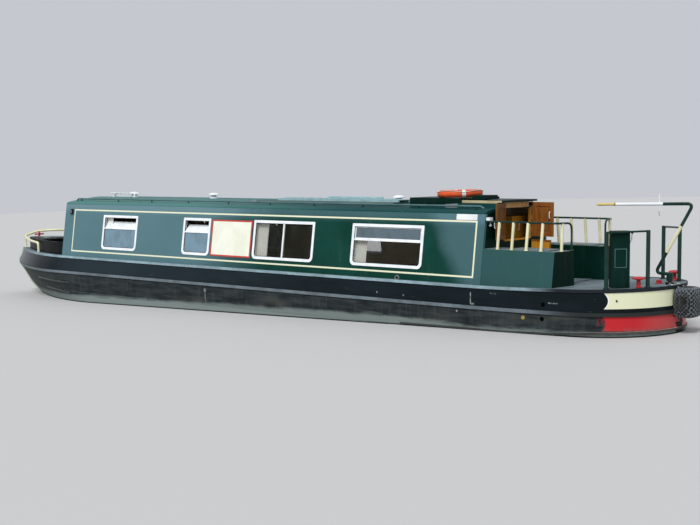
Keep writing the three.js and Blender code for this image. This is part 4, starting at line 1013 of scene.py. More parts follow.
smoothCopy("hull", ["hull", "gunwale", "guard", "stem", "deck", "inner", "guardLitTop"], hullFace,
           "hull_shell", "hull_body", 30)
smoothCopy("middle_strake", ["strake"], oneFace, "rubbing_strake", "hull_body", 30)
print("hull dressed")


def sideY(z):
    return cabin["baseHalf"] - cabin["lean"] * (z - cabin["deck"])


# places (x, z, depth) on the leaning cabin side; depth grows inwards
def onSide(sign, out=0.0):
    return lambda a, b, d: (a, sign * (sideY(b) + out - d), b)


for node in ("cabin_side_port", "cabin_side_starboard"):
    nodes[node].data.materials.clear()
    nodes[node].data.materials.append(mat["side"])


# 0 roof skin, 1 ceiling, 2 garage and cradle
def roofFace(centre, normal):
    if normal.z < -0.4 and centre.z < 2.27:
        return 1
    if centre.z > 2.2945 and centre.x < -3.14:
        return 2
    return 0


smoothCopy("roof", ["roof", "ceiling", "darkGreenAndShade"], roofFace, "roof_shell", "hull_body", 28)


# 0 outside paint, 1 lined inside
def bulkheadFace(centre, normal):
    return 1 if normal.x * (1 if centre.x < 0 else -1) > 0.5 else 0


# the rear wall's aft face takes the very dark green as painted shade
smoothCopy("rear_bulkhead", ["darkGreenAndShade", "ply"], bulkheadFace, "rear_wall", "hull_body", 30)
smoothCopy("front_bulkhead", ["green", "ply"], bulkheadFace, "front_wall", "hull_body", 30)
smoothCopy("cabin_floor", ["ply"], oneFace, "floor_boards", "hull_body", 30, 0.002)
smoothCopy("well_floor", ["deck"], oneFace, "well_plate", "hull_body", 30, 0.002)


# 0 plate, 1 header board, lightened as painted sky light, 2 pale side edge
def hatchFace(centre, normal):
    if centre.x < -4.605 and centre.z < 2.314:
        return 1
    if abs(normal.y) > 0.9 and abs(centre.y) > 0.47:
        return 2
    return 0


smoothCopy("sliding_hatch", ["darkGreenAndShade", "skyLitHeader", "edgeWood"], hatchFace, "hatch_plate", "hatch",
           30)
print("cabin dressed")

windowTable = [
    {"id": 1, "x0": 2.52, "x1": 3.455, "style": "open"},
    {"id": 2, "x0": 0.68, "x1": 1.33, "style": "open"},
    {"id": 3, "x0": -1.595, "x1": -0.32, "style": "slider"},
    {"id": 4, "x0": -3.635, "x1": -2.343, "style": "closed"},
]
windowSize = {"low": 1.385, "high": 1.987, "frame": 0.038, "radius": 0.075, "bar": 0.022, "proud": 0.008,
              "barAt": 0.6, "hopperLean": 0.11, "pane": 0.004, "stay": 0.004}


def windowParts(w, sign):
    low, high, edge = windowSize["low"], windowSize["high"], windowSize["frame"]
    place = onSide(sign, windowSize["proud"])
    outer = roundedBox(w["x0"] - 0.004, w["x1"] + 0.004, low - 0.004, high + 0.004, windowSize["radius"],
                       0.014)
    step1 = roundedBox(w["x0"] + edge, w["x1"] - edge, low + edge, high - edge, 0.045, 0.006)
    through = roundedBox(w["x0"] + 0.001, w["x1"] - 0.001, low + 0.001, high - 0.001,
                         windowSize["radius"] - 0.004, 0.012)
    seal = roundedBox(w["x0"] + edge + 0.007, w["x1"] - edge - 0.007, low + edge + 0.007,
                      high - edge - 0.007, 0.04, 0.005)
    parts = [(ringShape(outer, step1, 0.008, place), "frame")]
    parts.append((ringShape(through, step1, 0.034, onSide(sign, 0.0)), "frame"))
    parts.append((ringShape(step1, seal, 0.010, onSide(sign, -0.002)), "seal"))
    barLow = low + (high - low) * windowSize["barAt"]
    left, right = w["x0"] + edge + 0.002, w["x1"] - edge - 0.002
    bottom, top = low + edge + 0.002, high - edge - 0.002
    paneIn = onSide(sign, -0.010)
    lower = "hazyGlass" if w["style"] == "open" else "glass"
    if w["style"] == "slider":
        mid = (w["x0"] + w["x1"]) / 2
        post = [(mid - 0.014, bottom), (mid + 0.014, bottom), (mid + 0.014, top), (mid - 0.014, top)]
        parts.append((plateShape(post, 0.020, onSide(sign, 0.002)), "frame"))
        halves = ((left, mid - 0.012, 0.0), (mid + 0.012, right, 0.004))
        for a, b, back in halves:
            pane = roundedBox(a, b, bottom, top, 0.03, 0.004, 4)
            parts.append((plateShape(pane, windowSize["pane"], onSide(sign, -0.010 - back)), "glass"))
        return parts
    bar = [(left, barLow), (right, barLow), (right, barLow + windowSize["bar"]),
           (left, barLow + windowSize["bar"])]
    parts.append((plateShape(bar, 0.022, onSide(sign, 0.003)), "frame"))
    pane = roundedBox(left, right, bottom, barLow + 0.004, 0.03, 0.002, 4)
    parts.append((plateShape(pane, windowSize["pane"], paneIn), lower))
    foot = barLow + windowSize["bar"]
    lean = windowSize["hopperLean"] if w["style"] == "open" else 0.0
    rise = top - foot - (0.050 if lean else 0.0)
    hopper = roundedBox(left + 0.004, right - 0.004, foot, foot + rise, 0.006, 0.006, 2)
    hopperIn = roundedBox(left + 0.020, right - 0.020, foot + 0.016, foot + rise - 0.014, 0.004, 0.004, 2)

    def tilted(a, b, d):
        t = (b - foot) / (top - foot)
        return (a, sign * (sideY(foot) - cabin["lean"] * (b - foot) - 0.008 - lean * t - d),
                b - 0.03 * t * (lean > 0))

    parts.append((ringShape(hopper, hopperIn, 0.012, tilted), "frame"))
    # shut upper panes are near-opaque blue-grey, a painted sky reflection
    parts.append((plateShape(hopperIn, windowSize["pane"], lambda a, b, d: tilted(a, b, d + 0.004)),
                  "hopper" if lean else "skyReflectionGlass"))
    if lean:   # side stays that hold the hopper open
        for x in (left + 0.01, right - 0.01):
            a = tilted(x, foot + rise, 0.0)
            stay = [(x, sign * (sideY(foot + rise) - 0.012), foot + rise * 0.9), a]
            parts.append((tubeShape(stay, windowSize["stay"], 6), "steel"))
    return parts


for sign, side in ((1, "port"), (-1, "starboard")):
    for w in windowTable:
        node = f"window_{side}_{w['id']}"
        makePiece(f"window_unit_{side}_{w['id']}", windowParts(w, sign), "hull_body",
                  (node,), 30)

# small screw heads round every window frame
screws = {"radius": 0.0045, "height": 0.003, "pitch": 0.16, "edge": 0.018}
heads = []
for sign in (1, -1):
    points = []
    place = onSide(sign, windowSize["proud"] + 0.001)
    for w in windowTable:
        x0, x1 = w["x0"] + screws["edge"], w["x1"] - screws["edge"]
        z0, z1 = windowSize["low"] + screws["edge"], windowSize["high"] - screws["edge"]
        across = max(2, round((x1 - x0) / screws["pitch"]))
        upward = max(2, round((z1 - z0) / screws["pitch"]))
        for i in range(1, across):
            x = x0 + (x1 - x0) * i / across
            points += [place(x, z0, 0), place(x, z1, 0)]
        for i in range(1, upward):
            z = z0 + (z1 - z0) * i / upward
            points += [place(x0, z, 0), place(x1, z, 0)]
    lean = math.pi / 2 - sign * math.atan(cabin["lean"])
    sizes = {"Head radius": screws["radius"], "Head height": screws["height"], "Lean": lean}
    heads.append(grown(f"screws_{sign}", points, [], studTree("steel"), sizes))
grownPiece("window_screws", heads, "hull_body")

curtains = {"high": 1.99, "low": 1.37, "wave": 0.011, "pitch": 0.045, "gap": 0.018, "rows": 12,
            "perFold": 10, "flare": 0.35, "rod": 0.006, "rodPast": 0.9}
curtainTable = [
    {"id": "w1", "x": 3.43, "width": 0.16}, {"id": "w3", "x": -0.33, "width": 0.25},
    {"id": "w4", "x": -2.36, "width": 0.23},
]


# gathered cloth hung on a rod inside the window
def makeCurtain(name, x1, width, sign):
    columns = int(width / curtains["pitch"] * curtains["perFold"])
    rows = curtains["rows"]
    folds = 2 * math.pi * width / curtains["pitch"]
    points = []
    line = []
    for i in range(columns + 1):
        t = i / columns
        line.append((x1 - width * t, curtains["wave"] * math.sin(folds * t)))
    for r in range(rows + 1):
        z = curtains["high"] + (curtains["low"] - curtains["high"]) * r / rows
        spread = 1 + curtains["flare"] * (r / rows) ** 2
        for x, off in line:
            y = sideY(z) - cabin["wall"] - curtains["gap"] + off * spread
            points.append((x, sign * y, z))
    n = columns + 1
    faces = []
    for r in range(rows):
        for i in range(columns):
            faces.append((r * n + i, r * n + i + 1, (r + 1) * n + i + 1, (r + 1) * n + i))
    mesh = bpy.data.meshes.new(name)
    mesh.from_pydata(points, [], faces)
    mesh.materials.append(mat["curtain"])
    mesh.shade_smooth()
    made = bpy.data.objects.new(name, mesh)
    bpy.context.scene.collection.objects.link(made)
    rodY = sign * (sideY(curtains["high"]) - cabin["wall"] - curtains["gap"])
    rodZ = curtains["high"] + 0.004
    rod = [(x1 + 0.02, rodY, rodZ), (x1 - width - curtains["rodPast"], rodY, rodZ)]
    makePiece(name + "_rod", [(tubeShape(rod, curtains["rod"], 10), "brass")], "hull_body")
    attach(made, "hull_body")


for sign, side in ((1, "port"), (-1, "starboard")):
    for row in curtainTable:
        makeCurtain(f"curtain_{row['id']}_{side}", row["x"], row["width"], sign)
print("windows and curtains made")

signBox = {"x0": -0.275, "x1": 0.64, "z0": 1.388, "z1": 1.975, "border": 0.024, "thick": 0.0035}
plateBox = {"x0": -4.505, "x1": -4.165, "z0": 2.086, "z1": 2.164, "corner": 0.006, "thick": 0.003}
sideLamp = {"x": 4.39, "z": 2.035, "wide": 0.035, "tall": 0.045, "corner": 0.01, "deep": 0.035,
            "glassWide": 0.025, "glassTall": 0.03, "glassCorner": 0.008, "glassDeep": 0.006}


def rectangle(b, inset=0.0):
    return [(b["x0"] + inset, b["z0"] + inset), (b["x1"] - inset, b["z0"] + inset),
            (b["x1"] - inset, b["z1"] - inset), (b["x0"] + inset, b["z1"] - inset)]


# rounded rectangle about a middle point
def badge(x, z, wide, tall, corner):
    return roundedBox(x - wide, x + wide, z - tall, z + tall, corner, corner, 3)


for sign, side in ((1, "port"), (-1, "starboard")):
    makePiece(f"sign_panel_{side}", [
        (plateShape(rectangle(signBox, 0.02), signBox["thick"], onSide(sign, signBox["thick"])), "sign"),
        (ringShape(rectangle(signBox), rectangle(signBox, signBox["border"]), 0.0045, onSide(sign, 0.0045)),
         "signRed"),
    ], "hull_body")
    b = plateBox
    plate = roundedBox(b["x0"], b["x1"], b["z0"], b["z1"], b["corner"], b["corner"], 3)
    makePiece(f"number_plate_{side}", [(plateShape(plate, b["thick"], onSide(sign, b["thick"])), "white")],
              "hull_body")
    b = sideLamp
    case = badge(b["x"], b["z"], b["wide"], b["tall"], b["corner"])
    pane = badge(b["x"], b["z"], b["glassWide"], b["glassTall"], b["glassCorner"])
    makePiece(f"side_lamp_{side}", [
        (plateShape(case, b["deep"], onSide(sign, b["deep"])), "seal"),
        # lamp glass painted as sky reflection
        (plateShape(pane, b["glassDeep"], onSide(sign, b["deep"] + 0.005)), "skyReflectionGlass"),
    ], "hull_body", bevel=0.003)

handrailTable = {"y": 0.618, "z": 2.267, "front": 4.44, "back": -4.45, "foot": 2.236, "r": 0.0135,
                 "standoff": 2.231}
standoffProfile = [(0.020, 0), (0.020, 0.004), (0.009, 0.008), (0.009, 0.034)]
standoffs = [4.35, 3.29, 2.38, 1.44, 0.47, -0.47, -1.41, -2.37, -3.39, -4.37]
for sign, side in ((1, "port"), (-1, "starboard")):
    h = handrailTable
    y = sign * h["y"]
    route = [(h["front"] + 0.05, y, h["foot"]), (h["front"], y, h["z"]), (h["back"], y, h["z"]),
             (h["back"] - 0.05, y, h["foot"])]
    # the whole rail tube is painted pale as a painted highlight
    parts = [(tubeShape(route, h["r"], 14, 0.04), "paleRailAndGlint")]
    for x in standoffs:
        parts.append((latheShape(standoffProfile, (x, y, h["standoff"]), 12), "railGreen"))
    makePiece(f"roof_rail_{side}", parts, "hull_body", (f"handrail_{side}",))

# mushroom vents: radius and height from the foot to the crown
ventProfile = [
    (0, 0), (0.075, 0), (0.075, 0.006), (0.062, 0.010), (0.060, 0.026), (0.045, 0.030), (0.043, 0.052),
    (0.086, 0.054), (0.092, 0.060), (0.091, 0.066), (0.080, 0.078), (0.058, 0.089), (0.030, 0.095),
    (0, 0.097),
]
vents = {"xs": (3.59, 1.463, -2.572), "z": 2.2912, "screwRing": 0.068, "screwZ": 2.2985, "screw": 0.004}
for number, x in enumerate(vents["xs"], 1):
    parts = [(latheShape(ventProfile, (x, 0, vents["z"]), 40), "white")]
    for k in range(6):
        a = math.pi / 3 * k
        place = (x + vents["screwRing"] * math.cos(a), vents["screwRing"] * math.sin(a), vents["screwZ"])
        parts.append((ballShape(place, vents["screw"], 8), "steel"))
    makePiece(f"vent_cap_{number}", parts, "hull_body", (f"roof_vent_{number}",))

# folded aerial lying by the first vent
aerial = {"x0": 3.28, "x1": 4.10, "y": 0.13, "z": 2.352, "rods": 7, "pitch": 0.105, "reach": 0.035,
          "grow": 0.006, "boom": 0.011, "rod": 0.005, "foot": 2.287}
parts = [(tubeShape([(aerial["x0"], aerial["y"], aerial["z"]),
                     (aerial["x1"], aerial["y"], aerial["z"] + 0.01)], aerial["boom"], 10), "white")]
for i in range(aerial["rods"]):
    x = aerial["x0"] + 0.08 + i * aerial["pitch"]
    reach = aerial["reach"] + aerial["grow"] * i
    parts.append((tubeShape([(x, aerial["y"] - reach, aerial["z"] + 0.012),
                             (x, aerial["y"] + reach, aerial["z"] + 0.012)], aerial["rod"], 8), "white"))
for x in (aerial["x0"] + 0.12, aerial["x1"] - 0.10):
    parts.append((boxShape(x - 0.02, x + 0.02, aerial["y"] - 0.03, aerial["y"] + 0.03, aerial["foot"],
                           aerial["z"]), "white"))
makePiece("folded_aerial", parts, "hull_body", bevel=0.002)

# gang plank: two stringers, boards across and a raised edge batten
plank = {"x0": -2.85, "x1": -0.42, "y0": 0.09, "y1": 0.38, "z0": 2.2912, "z1": 2.329, "stringer": 0.035,
         "board": 0.012, "boards": 9, "gap": 0.006, "cleats": 12, "cleatStart": 0.15, "cleatPitch": 0.195,
         "battenAft": -2.35, "battenFore": -1.25}
p = plank
parts = []
for y in (p["y0"], p["y1"] - p["stringer"]):
    parts.append((boxShape(p["x0"], p["x1"], y, y + p["stringer"], p["z0"], p["z1"] - p["board"]), "plank"))
for i in range(p["boards"]):
    a = p["x0"] + (p["x1"] - p["x0"]) * i / p["boards"]
    b = p["x0"] + (p["x1"] - p["x0"]) * (i + 1) / p["boards"] - p["gap"]
    parts.append((boxShape(a, b, p["y0"], p["y1"], p["z1"] - p["board"], p["z1"]), "plank"))
for i in range(p["cleats"]):
    x = p["x0"] + p["cleatStart"] + i * p["cleatPitch"]
    parts.append((boxShape(x, x + 0.03, p["y0"] + 0.03, p["y1"] - 0.03, p["z1"], p["z1"] + 0.008), "plank"))
parts.append((boxShape(p["battenAft"], p["battenFore"], p["y0"] + 0.005, p["y0"] + 0.03, p["z1"],
                       p["z1"] + 0.03), "plank"))
makePiece("boarding_plank", parts, "hull_body", ("gang_plank",), 30, 0.003)

# boat pole with a steel tip and a painted butt
pole = {"y": 0.43, "z": 2.275, "shaft": 0.0175, "sleeve": 0.018}


def poleRun(xs, radius):
    return tubeShape([(x, pole["y"], pole["z"]) for x in xs], radius, 16)


makePiece("pole_shaft", [
    (poleRun((-3.0, -2.9, 0.0, 0.1), pole["shaft"]), "pole"),
    (poleRun((0.0, 0.098), pole["sleeve"]), "steel"),
    (poleRun((-2.999, -2.8), pole["sleeve"]), "darkGreenAndShade"),
], "hull_body", ("boat_pole",))
print("roof gear made")

# lifebuoy: ring, four pale bands, and a grab line caught at each band
buoy = {"major": 0.278, "minor": 0.052, "tilt": 0.022, "centre": (-3.815, 0.2, 2.431), "band": 0.16,
        "line": 0.0055}


# turn round the ring, ring round the tube
def buoyPoint(turn, ring, out):
    r = buoy["major"] + (buoy["minor"] + out) * math.cos(ring)
    flat = Vector((r * math.cos(turn), r * math.sin(turn), (buoy["minor"] + out) * math.sin(ring)))
    return Matrix.Rotation(buoy["tilt"], 3, "Y") @ flat + Vector(buoy["centre"])


def torusPart(start, end, out, steps, closed):
    rings = []
    for i in range(steps + (0 if closed else 1)):
        turn = start + (end - start) * i / steps
        rings.append([buoyPoint(turn, 2 * math.pi * k / 24, out) for k in range(24)])
    if not closed:
        return sweepShape(rings)
    n = 24
    points = [p for ring in rings for p in ring]
    faces = []
    for i in range(steps):
        m = (i + 1) % steps
        for k in range(n):
            j = (k + 1) % n
            faces.append((i * n + k, i * n + j, m * n + j, m * n + k))
    return points, faces


parts = [(torusPart(0, 2 * math.pi, -0.0012, 64, True), "orange")]
line = []
for q in range(4):
    middle = math.pi / 4 + math.pi / 2 * q
    parts.append((torusPart(middle - buoy["band"] / 2, middle + buoy["band"] / 2, -0.0002, 5, False),
                  "white"))
    for i in range(12):
        t = i / 12
        turn = middle + math.pi / 2 * t
        sag = math.sin(math.pi * t)
        line.append(buoyPoint(turn, 0.30 + 0.45 * sag, 0.002 + 0.006 * sag))
line.append(line[0])
parts.append((tubeShape(line, buoy["line"], 8), "paleRope"))
makePiece("lifebuoy_ring", parts, "hull_body", ("lifebuoy",), 50)

leaf = {"thick": 0.028, "stile": 0.06, "handle": 0.006, "grip": 0.045, "stand": 0.028}


# frame-and-panel leaf standing in the plane y = 0, hinge at x = 0
def leafParts(width, low, high, thick, paint, rails):
    stile = leaf["stile"]
    half = thick / 2
    parts = [(boxShape(0.006 + stile / 2, width - stile / 2, -half * 0.45, half * 0.45, low + 0.02,
                       high - 0.02), paint)]
    for x in (0.006, width - stile):
        parts.append((boxShape(x, x + stile, -half, half, low, high), paint))
    for z in rails:
        parts.append((boxShape(0.006 + stile, width - stile, -half, half, z, z + stile), paint))
    levels = sorted(rails)
    for below, above in zip(levels, levels[1:]):
        for side in (-1, 1):
            x0, x1 = 0.006 + stile + 0.025, width - stile - 0.025
            z0, z1 = below + stile + 0.025, above - 0.025
            y0, y1 = sorted((side * half * 0.45, side * half * 0.8))
            parts.append((boxShape(x0, x1, y0, y1, z0, z1), paint))
    return parts


def placed(parts, angle, pivot):
    return [(turnedShape(shape, math.radians(angle), pivot), paint) for shape, paint in parts]


# bow handle: two feet and a bar between them, on the face y = foot
def handleShape(x, foot, reach, low, high):
    return tubeShape([(x, foot, low), (x, reach, low), (x, reach, high), (x, foot, high)],
                     leaf["handle"], 10, 0.012)


def doorPiece(name, node, body, pivot, width, low, high, angle, rails, paint, handleSide, handleZ):
    thick = leaf["thick"]
    parts = leafParts(width, low, high, thick, paint, rails)
    for z in (low + 0.07, (low + high) / 2, high - 0.11):
        parts.append((latheShape([(0.0085, 0), (0.0085, 0.05), (0.004, 0.056)], (0, 0, z), 12), "brass"))
        parts.append((boxShape(0.004, 0.035, -0.0035, 0.0035, z, z + 0.05), "brass"))
    for side in handleSide:
        foot = side * thick / 2
        reach = side * (thick / 2 + leaf["stand"])
        parts.append((handleShape(width - 0.045, foot, reach, handleZ - leaf["grip"],
                                  handleZ + leaf["grip"]), "white"))
    makePiece(name, placed(parts, angle, pivot), body, (node,), 30, 0.002)


rearDoor = {"low": 1.815, "high": 2.302, "x": -4.652, "rails": (1.815, 2.242)}
frontDoor = {"low": 0.925, "high": 2.125, "x": 4.61, "y": 0.31, "width": 0.304, "handle": 1.50,
             "rails": (0.925, 1.45, 2.065)}
# the port rear leaf takes the darker wood as painted shade
doorPiece("door_leaf_rear_port", "rear_door_port", "rear_leaf_port", (rearDoor["x"], 0.325, 0), 0.36,
          rearDoor["low"], rearDoor["high"], 103, rearDoor["rails"], "shadedDoorWood", (1, -1), 2.02)
doorPiece("door_leaf_rear_starboard", "rear_door_starboard", "rear_leaf_starboard",
          (rearDoor["x"], -0.395, 0), 0.34, rearDoor["low"], rearDoor["high"], 182, rearDoor["rails"],
          "wood", (1, -1), 2.12)
for side, sign in (("port", 1), ("starboard", -1)):
    d = frontDoor
    doorPiece(f"door_leaf_front_{side}", f"front_door_{side}", f"front_leaf_{side}",
              (d["x"], sign * d["y"], 0), d["width"], d["low"], d["high"], -90 * sign, d["rails"], "wood",
              (-sign,), d["handle"])

# lamp on the rear wall, clear of the open door leaf
wallLamp = {"x": -4.664, "y": 0.718, "bulb": 2.005, "neckLow": 2.036, "neckHigh": 2.072, "neck": 0.006,
            "case": (-4.690, -4.634, 0.697, 0.775, 2.070, 2.125)}
bulbProfile = [(0, 0), (0.016, 0), (0.019, 0.010), (0.016, 0.022), (0.010, 0.030), (0, 0.032)]
lampNeck = [(wallLamp["x"], wallLamp["y"], z) for z in (wallLamp["neckLow"], wallLamp["neckHigh"])]
makePiece("rear_wall_lamp", [
    (boxShape(*wallLamp["case"]), "white"),
    (latheShape(bulbProfile, (wallLamp["x"], wallLamp["y"], wallLamp["bulb"]), 20), "white"),
    (tubeShape(lampNeck, wallLamp["neck"], 8), "white"),
], "hull_body", smoothAngle=40)

# door surround, cupboard and steps seen through the rear doorway
surround = {"x0": -4.637, "x1": -4.60, "port": 0.300, "starboard": -0.370, "wide": 0.035, "low": 1.79,
            "high": 2.235, "sill": 1.80}
s = surround
makePiece("rear_door_frame", [
    (boxShape(s["x0"], s["x1"], s["port"], s["port"] + s["wide"], s["low"], s["high"]), "gold"),
    (boxShape(s["x0"], s["x1"], s["starboard"] - s["wide"], s["starboard"], s["low"], s["high"]), "gold"),
    (boxShape(s["x0"], s["x1"], s["starboard"], s["port"], s["sill"] - 0.025, s["sill"]), "gold"),
], "hull_body", bevel=0.003)
cupboard = {"x": -4.45, "y0": -0.66, "y1": -0.17, "z0": 0.30, "z1": 2.10}
door = leafParts(cupboard["y1"] - cupboard["y0"], cupboard["z0"], cupboard["z1"], 0.024, "gold",
                 (0.30, 1.2, 2.04))
door = placed(door, 90, (cupboard["x"], cupboard["y0"], 0))
door.append((boxShape(cupboard["x"] + 0.015, -4.02, cupboard["y0"], cupboard["y1"], cupboard["z0"],
                      cupboard["z1"]), "gold"))
handleY = cupboard["y1"] - 0.13
handleX = (cupboard["x"] - 0.012, cupboard["x"] - 0.045)
route = [(handleX[0], 1.90), (handleX[1], 1.90), (handleX[1], 2.0), (handleX[0], 2.0)]
door.append((tubeShape([(x, handleY, z) for x, z in route], leaf["handle"], 10, 0.012), "white"))
makePiece("entry_cupboard", door, "hull_body", bevel=0.003)
stairs = {"count": 5, "x": -3.85, "z": 0.60, "rise": 0.28, "back": 0.13, "thick": 0.03}
sideBoard = [(-3.70, 0.30), (-3.62, 0.30), (-4.28, 1.72), (-4.46, 1.72), (-4.46, 1.60)]
steps = []
for i in range(stairs["count"]):
    z = stairs["z"] + stairs["rise"] * i
    x = stairs["x"] - stairs["back"] * i
    steps.append((boxShape(x - 0.16, x + 0.02, -0.12, 0.30, z, z + stairs["thick"]), "gold"))
for y in (-0.15, 0.30):
    steps.append((plateShape(sideBoard, stairs["thick"], lambda a, b, d, y=y: (a, y + d, b)), "wood"))
makePiece("entry_steps", steps, "hull_body", bevel=0.003)
print("doors and entry made")


# stern well
def sternSide(z):
    return cabin["baseHalf"] - 0.004 - cabin["lean"] * (z - hullForm["deck"])


# 0 outer side, 1 top, 2 shaded aft end and inner sides
def lockerFace(centre, normal):
    if normal.z > 0.9 and centre.z > 1.69:
        return 1
    return 2 if normal.x < -0.5 or abs(centre.y) < 0.6 else 0


for side in ("port", "starboard"):
    smoothCopy(f"side_locker_{side}", ["locker", "lockerTop", "darkGreenAndShade"], lockerFace,
               f"locker_shell_{side}", "hull_body", 30)
lockerLid = {"x0": -5.60, "x1": -5.03, "y0": 0.485, "y1": 0.785, "z0": 1.7065, "z1": 1.722,
             "knuckle": 0.005, "knuckleY": 0.779, "knuckleLong": 0.06}
for sign, side in ((1, "port"), (-1, "starboard")):
    b = lockerLid
    y0, y1 = sorted((sign * b["y0"], sign * b["y1"]))
    parts = [(boxShape(b["x0"], b["x1"], y0, y1, b["z0"], b["z1"]), "lockerTop")]
    for x in (b["x0"] + 0.08, b["x1"] - 0.14):
        y, z = sign * b["knuckleY"], b["z1"] - 0.004
        parts.append((tubeShape([(x, y, z), (x + b["knuckleLong"], y, z)], b["knuckle"], 10), "steel"))
    parts.append((ringLoop(-5.315, sign * (b["y0"] + 0.035), b["z1"] + 0.004), "brass"))
    makePiece(f"lid_plate_{side}", parts, f"{side}_locker_lid", (f"locker_lid_{side}",), 30,
              0.003)

railLine = {"top": 2.071, "bar": 0.0135, "post": 0.020, "corner": -5.71, "end": -5.76, "endY": 0.472}
balusterXs = [-4.846, -5.066, -5.287, -5.508]
for sign, side in ((1, "port"), (-1, "starboard")):
    yTop = sternSide(2.083) - 0.014
    r = railLine
    parts = [(tubeShape([(-4.632, sign * yTop, r["top"]), (r["corner"], sign * yTop, r["top"]),
                         (r["end"], sign * r["endY"], r["top"] - 0.004), (r["end"], sign * r["endY"], 1.706)],
                        r["bar"], 16, 0.09, 8), "railGreen")]
    feet = [(x, sternSide(1.705) - 0.020, x, yTop) for x in balusterXs] + [(-5.727, 0.680, -5.730, 0.660)]
    for x, y, xTop, yEnd in feet:
        parts.append((tubeShape([(x, sign * y, 1.709), (xTop, sign * yEnd, 2.067)], r["post"], 14), "cream"))
        parts.append((latheShape([(0.027, 0), (0.027, 0.005), (0.021, 0.010)], (x, sign * y, 1.7055), 16),
                      "cream"))
    parts.append((latheShape([(0.030, 0), (0.030, 0.006), (0.014, 0.012)],
                             (r["end"], sign * r["endY"], 1.7055), 16), "railGreen"))
    makePiece(f"well_guard_{side}", parts, "hull_body", (f"well_rail_{side}",), 40)

deckRail = {"a": (-6.444, 0.832, 1.995), "b": (-6.831, 0.472, 2.010), "post": 0.026, "bar": 0.0128,
            "drop": 0.016}
for sign, side in ((1, "port"), (-1, "starboard")):
    a, b = deckRail["a"], deckRail["b"]
    top = [(p[0], sign * p[1], p[2] - deckRail["drop"]) for p in (a, b)]
    parts = [(tubeShape(top, deckRail["bar"], 16), "railGreen")]
    for p in (a, b):
        tall = p[2] - deckAt(p[0]) - 0.003
        r = deckRail["post"]
        post = [(0, 0), (0.044, 0), (0.044, 0.006), (r + 0.002, 0.013), (r, 0.02), (r, tall - 0.012),
                (r * 0.8, tall - 0.003), (0, tall)]
        parts.append((latheShape(post, (p[0], sign * p[1], deckAt(p[0]) + 0.003), 24), "railGreen"))
    makePiece(f"deck_guard_{side}", parts, "hull_body", (f"deck_rail_{side}",), 40)

console = {"x": -6.527, "y": 0.643, "length": 0.236, "width": 0.110, "top": 1.998,
           "turn": math.atan2(-0.36, -0.387)}
c = console
body = [(boxShape(-c["length"] / 2, c["length"] / 2, -c["width"] / 2, c["width"] / 2, deckAt(-6.66) + 0.003,
                  c["top"]), "darkGreenAndShade")]
panel = {"x0": -0.078, "x1": 0.078, "z0": 1.535, "z1": 1.775}


def panelFace(a, b, d):
    return (a, -console["width"] / 2 - d, b)


body.append((ringShape(rectangle(panel), rectangle(panel, 0.009), 0.004, panelFace), "paleRailAndGlint"))
lever = [(c["length"] / 2, 0.0, 1.86), (c["length"] / 2 + 0.035, 0.0, 1.86),
         (c["length"] / 2 + 0.045, 0.01, 1.97)]
body.append((tubeShape(lever, 0.007, 10, 0.015), "chrome"))
body.append((ballShape((c["length"] / 2 + 0.045, 0.011, 1.972), 0.017), "black"))
body.append((latheShape([(0.035, 0), (0.035, 0.010), (0.02, 0.016)], (c["length"] / 2, 0, 1.86), 20, "X"),
             "steel"))
for k in range(4):   # key switch and three small lamps on the top
    body.append((latheShape([(0.009, 0), (0.009, 0.004), (0.005, 0.006)],
                            (-0.06 + 0.035 * k, 0, c["top"] - 0.001), 12), "brass"))
makePiece("control_post", placed(body, math.degrees(c["turn"]), (c["x"], c["y"], 0)), "hull_body",
          ("control_console",), 30, 0.004)

# mooring studs: radius and height from the deck to the crown
dollyProfile = [
    (0, 0), (0.042, 0), (0.042, 0.006), (0.030, 0.012), (0.0265, 0.03), (0.024, 0.09), (0.032, 0.097),
    (0.055, 0.101), (0.080, 0.109), (0.0838, 0.114), (0.082, 0.121), (0.066, 0.130), (0.035, 0.137),
    (0, 0.1395),
]
dolly = {"x": -6.741, "y": 0.541}
for sign, side in ((1, "port"), (-1, "starboard")):
    place = (dolly["x"], sign * dolly["y"], deckAt(dolly["x"]) + 0.0028)
    makePiece(f"dolly_{side}", [(latheShape(dollyProfile, place, 36), "red")], "hull_body",
              (f"stern_stud_{side}",), 40)

smoothCopy("engine_hatch", ["tread"], oneFace, "engine_cover", "engine_lid", 20)
coverFittings = {"ringX": -5.05, "ringYs": (-0.25, 0.25), "hingeX": -5.594, "hingeYs": (-0.3, 0.22),
                 "hingeLong": 0.08, "hinge": 0.006}
cupProfile = [(0.032, 0), (0.032, 0.002), (0.028, 0.003)]
c = coverFittings
parts = []
for y in c["ringYs"]:
    z = deckAt(c["ringX"]) + 0.0145
    parts.append((latheShape(cupProfile, (c["ringX"], y, z - 0.001), 20), "steel"))
    parts.append((ringLoop(c["ringX"], y, z + 0.005), "brass"))
for y in c["hingeYs"]:
    z = deckAt(-5.59) + 0.012
    parts.append((tubeShape([(c["hingeX"], y, z), (c["hingeX"], y + c["hingeLong"], z)], c["hinge"], 10),
                  "steel"))
makePiece("engine_cover_fittings", parts, "engine_lid")

box0, box1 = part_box("well_locker")   # plain box beside the starboard locker
parts = [(boxShape(box0.x + 0.004, box1.x - 0.004, box0.y + 0.004, box1.y - 0.004, box0.z, box1.z - 0.022),
          "gold"),
         (boxShape(box0.x, box1.x, box0.y, box1.y, box1.z - 0.022, box1.z), "wood")]
makePiece("box_seat", parts, "hull_body", ("well_locker",), 30, 0.003)
print("stern well made")

# tiller, rudder and screw
tillerPath = bendPath([(-6.91, 0, 1.402), (-6.91, 0, 1.425), (-6.712, 0, 1.425), (-7.212, 0, 2.326),
                       (-6.15, 0, 2.303)], 0.09, 8)
neckFoot, neckHead = Vector((-6.712, 0, 1.425)), Vector((-7.212, 0, 2.326))
neck = (neckHead - neckFoot).normalized()


